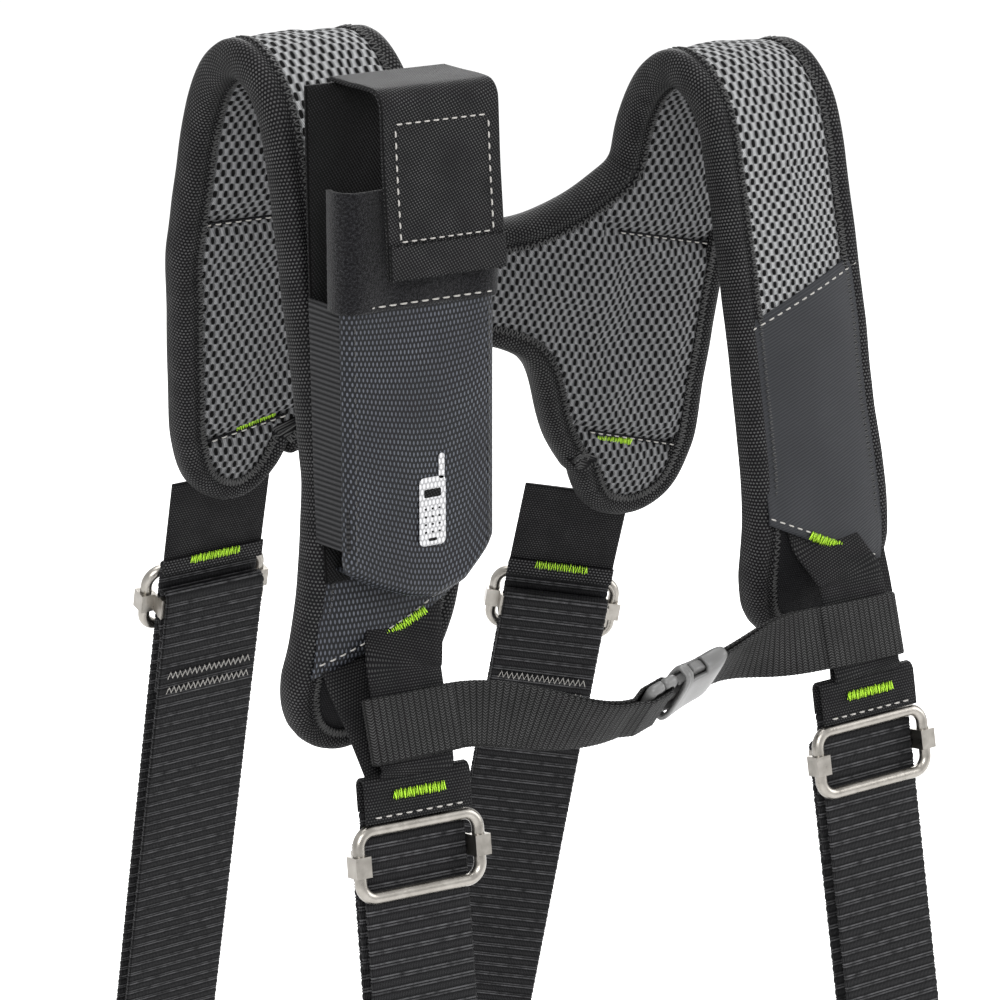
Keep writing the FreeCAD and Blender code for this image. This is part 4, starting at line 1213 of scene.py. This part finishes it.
# ---- chest strap and buckle ----
# The chest strap's plane: it stands along the straight part of the inner tapes.
CHEST_O = np.array([0.0, -72.2353, -198.0])
CHEST_UP = np.array([0.0, 0.2976354, 0.9546796])
CHEST_OUT = np.array([0.0, -CHEST_UP[2], CHEST_UP[1]])
LOOP_X, LOOP_EDGE = 92.5, 76.45          # middle of the loops round the tapes, and where the web leaves them
BUCKLE_O = np.array([11.3, -75.0, -204.5])
BUCKLE_RISE, BUCKLE_YAW, BUCKLE_LEAN = (math.radians(a) for a in (12.0, 9.0, 40.0))
BUCKLE_X = -np.array([math.cos(BUCKLE_RISE) * math.cos(BUCKLE_YAW),
                      math.cos(BUCKLE_RISE) * math.sin(BUCKLE_YAW), math.sin(BUCKLE_RISE)])
BUCKLE_OUT = unit(np.cross((0.0, -math.sin(BUCKLE_LEAN), math.cos(BUCKLE_LEAN)), BUCKLE_X))
BUCKLE_UP = np.cross(BUCKLE_X, BUCKLE_OUT)
BUCKLE_L = 38.0
MOUTH = 3.0                              # where the plug goes into the socket


def in_buckle(x, z, out=0.0):
    """Point of the buckle: x towards the plug's end, z towards its upper edge, out of its face."""
    return BUCKLE_O + BUCKLE_X * x + BUCKLE_UP * z + BUCKLE_OUT * out


def hanging_line(side, steps=50):
    """Middle line of one half of the strap from the buckle to its loop, and its upward direction."""
    ends = [(CHEST_O + (side * LOOP_EDGE, 0, 0), np.array([1.0, 0, 0]), CHEST_UP),
            (in_buckle(-side * (BUCKLE_L / 2 + 0.3), 0), -BUCKLE_X, BUCKLE_UP)]
    (p0, pull0, up0), (p1, pull1, up1) = ends if side < 0 else ends[::-1]
    span = np.linalg.norm(p1 - p0)
    t = np.linspace(0, 1, steps)[:, None]
    ease = t * t * (3 - 2 * t)
    line = p0 * (1 - ease) + p1 * ease + span * (pull0 * t * (1 - t) ** 2 - pull1 * t * t * (1 - t))
    up = unit(up0 * (1 - ease) + up1 * ease)
    return (line[::-1], up[::-1]) if side < 0 else (line, up)


def make_chest():
    """Each half is one length of webbing: out, round its tape, and back behind itself."""
    for name, side in SIDES.items():
        line, up = hanging_line(side)
        out = unit(np.cross(np.gradient(line, axis=0), up)) * side
        front = [(LOOP_X - 15.8, 1.95), (LOOP_X - 11.8, 2.15), (LOOP_X + 13, 2.15), (LOOP_X + 16, 1.4)]
        loop = front + [(LOOP_X + 16.5, 0.0)] + [(x, -o) for x, o in front[::-1]]
        loop = np.array([CHEST_O + (side * x, 0, 0) + CHEST_OUT * o for x, o in loop])
        anchor = ((7.9, 0.3), (8.1, 2.2), (9.2, 2.95), (18.2, 2.95)) if side < 0 else ((-15.5, 0.85),)
        start = np.array([in_buckle(x, 0, o) for x, o in anchor])
        finish = np.array([in_buckle(x, 0, -o) for x, o in anchor[::-1]])
        points = np.concatenate([start, line[3:] + out[3:] * 0.85, loop, (line - out * 0.85)[:2:-1], finish])
        ups = np.concatenate([np.tile(BUCKLE_UP, (len(start), 1)), up[3:], np.tile(CHEST_UP, (len(loop), 1)),
                              up[:2:-1], np.tile(BUCKLE_UP, (len(finish), 1))])
        both = resample(np.hstack([points, ups]), 0.6)
        piece = sweep(f"chest_strap_{name}_web", both[:, :3], both[:, 3:], web_section(22, 1.2), "chest_web",
                      lambda v: 0.08 * np.sin(v * 2 * np.pi / 1.5))
        cover(piece, None if side < 0 else "chest", "chest_web", f"chest_strap_{name}")
        if side < 0:
            tuple(line[-8] * MM)
            tuple(line[3] * MM)
            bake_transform(piece)


def shell(name, stations, turns=48, gap=None):
    """Hollow moulding through rounded sections given as (x, half height, half depth)."""
    stations = curve(stations, 0.5)
    angle = np.linspace(0, 2 * np.pi, turns, endpoint=False)
    flat = np.sign(np.cos(angle)) * np.abs(np.cos(angle)) ** 0.55
    deep = np.sign(np.sin(angle)) * np.abs(np.sin(angle)) ** 0.55
    points = np.array([in_buckle(x, h * a, d * b) for x, h, d in stations for a, b in zip(flat, deep)])
    faces = grid_faces(len(stations), turns, wrap=True)
    kept = [f for f in faces if not gap or not gap(stations[f[0] // turns][0], flat[f[0] % turns])]
    piece = make(name, points, kept, points[:, [0, 2]], "buckle")
    thicken(piece, 1.3, -1.0)
    return piece


def plate(name, outline, half_depth):
    """Flat moulding with eased edges, from its outline as (x, z) in the buckle."""
    count = len(outline)
    points = np.array([in_buckle(x, z, o) for o in (-half_depth, half_depth) for x, z in outline])
    faces = [tuple(range(count)), tuple(range(2 * count - 1, count - 1, -1))]
    faces += [(k, count + k, count + (k + 1) % count, (k + 1) % count) for k in range(count)]
    piece = make(name, points, faces, points[:, [0, 2]], "buckle")
    piece.data.shade_flat()
    ease = piece.modifiers.new("eased", "BEVEL")
    ease.width, ease.segments = 0.5 * MM, 3
    return piece


def make_buckle():
    """Side-release buckle: hollow socket, ladder plug with two sprung latches and a guide prong."""
    end = -BUCKLE_L / 2
    stations = [(MOUTH, 13.2, 3.6), (MOUTH - 1, 14.0, 4.0), (MOUTH - 5, 13.9, 4.0), (MOUTH - 10, 12.7, 3.9),
                (-11, 12.6, 3.9), (-15, 13.3, 3.6), (-17.6, 13.0, 2.9), (end + 0.4, 11.6, 2.2),
                (end, 10.6, 1.5)]
    socket = shell("buckle_socket_body", stations,
                   gap=lambda x, side: MOUTH - 11 < x < MOUTH - 3 and abs(side) > 0.8)
    cover(socket, "chest", "buckle", "buckle_socket")
    stations = [(MOUTH + 0.2, 14.1, 4.0), (MOUTH - 0.5, 14.3, 4.3), (MOUTH - 1.6, 14.3, 4.3),
                (MOUTH - 2.2, 14.0, 4.0)]
    collar = shell("buckle_socket_collar", stations)
    cover(collar, "chest", "buckle")
    around = ((0, 1), (1, 1), (1, 0), (1, -1), (0, -1), (-1, -1), (-1, 0), (-1, 1), (0, 1))
    rails = soft_line([in_buckle(x * 5.0 + 11.8, z * 12.1) for x, z in around], 0.8, 3)
    cover(threads("buckle_plug_frame", [rails], 1.95, "buckle", 16), "plug", "buckle", "buckle_plug")
    bars = [resample([in_buckle(x, -12), in_buckle(x, 12)], 2.0) for x in (11.6, 6.6)]
    cover(threads("buckle_plug_bars", bars, 1.25, "buckle", 16), "plug", "buckle")
    prong = [(MOUTH + 2.5, -2.2), (MOUTH + 2.5, 2.2), (MOUTH - 12, 2.0), (MOUTH - 14, 1.0),
             (MOUTH - 14, -1.0), (MOUTH - 12, -2.0)]
    cover(plate("buckle_prong", prong, 1.5), "plug", "buckle")
    arm = [(0.6, 7.6), (0.6, 9.2), (-3.6, 10.2), (-4.4, 13.2), (-5.2, 13.7), (-7.5, 13.5), (-10, 12.0),
           (-12.6, 9.8), (-14, 7.0), (-12, 7.4), (-8, 9.2), (-4, 7.6)]
    for name, side in (("upper", 1), ("lower", -1)):
        piece = plate(f"buckle_latch_{name}_arm", [(MOUTH + x, side * z) for x, z in arm], 1.6)
        cover(piece, f"latch_{name}", "buckle", f"buckle_latch_{name}")


def finish_cad():
    """The wire frames and their bars keep their CAD shape and get their finish here."""
    for name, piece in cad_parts.items():
        if name.startswith(("slider_", "belt_ring")):
            piece.data.materials.clear()
            piece.data.materials.append(MATERIALS["nickel"])


# ---- stage ----
CAMERA_AT, LOOK_AT, LENS = (-0.7659, -1.1622, 0.2458), Vector((-0.0330, -0.0335, -0.1401)), 148.68
# name, place, power and size of each soft light
LIGHTS = (("key", (-1.0, -1.3, 0.9), 26, 0.9), ("fill", (1.5, -0.9, 0.4), 16, 1.1),
          ("top", (0.1, 0.2, 1.5), 16, 1.0), ("rim", (0.9, 1.3, 0.6), 18, 0.9))
FLOOR_SIZE, FLOOR_GAP = 30000.0, 12.0


def look_from(name, data, where):
    """A light or camera at a place, turned to the object."""
    holder = bpy.data.objects.new(name, data)
    holder.location = where
    holder.rotation_euler = (LOOK_AT - holder.location).to_track_quat("-Z", "Y").to_euler()
    bpy.context.scene.collection.objects.link(holder)
    return holder


def make_stage():
    """Pale floor, soft studio light and the camera."""
    floor_z = CAD_BOX[0].z / MM - FLOOR_GAP
    corners = [(x * FLOOR_SIZE, y * FLOOR_SIZE, floor_z) for x, y in ((-1, -1), (1, -1), (1, 1), (-1, 1))]
    make("floor", corners, [(0, 1, 2, 3)], np.array(corners)[:, :2], "floor_paper")
    world = bpy.data.worlds.new("studio")
    world.use_nodes = True
    background = world.node_tree.nodes["Background"]
    background.inputs[0].default_value = (1, 1, 1, 1)
    background.inputs[1].default_value = 1.05
    scene = bpy.context.scene
    scene.world = world
    for name, where, power, size in LIGHTS:
        light = bpy.data.lights.new(name, "AREA")
        light.energy = power
        light.size = size
        look_from(name, light, where)
    camera = look_from("camera", bpy.data.cameras.new("camera"), CAMERA_AT)
    camera.data.lens = LENS
    camera.data.sensor_width = 36.0
    scene.camera = camera
    scene.view_settings.view_transform = "Standard"


make_skins()
make_seams()
make_binding()
make_panels()
make_straps()
belt_loops()
for pad, pad_side in SIDES.items():
    make_front_tapes(pad, pad_side)
    make_back_stub(pad, pad_side)
make_tacks()
make_pocket()
make_chest()
make_buckle()
finish_cad()
make_stage()
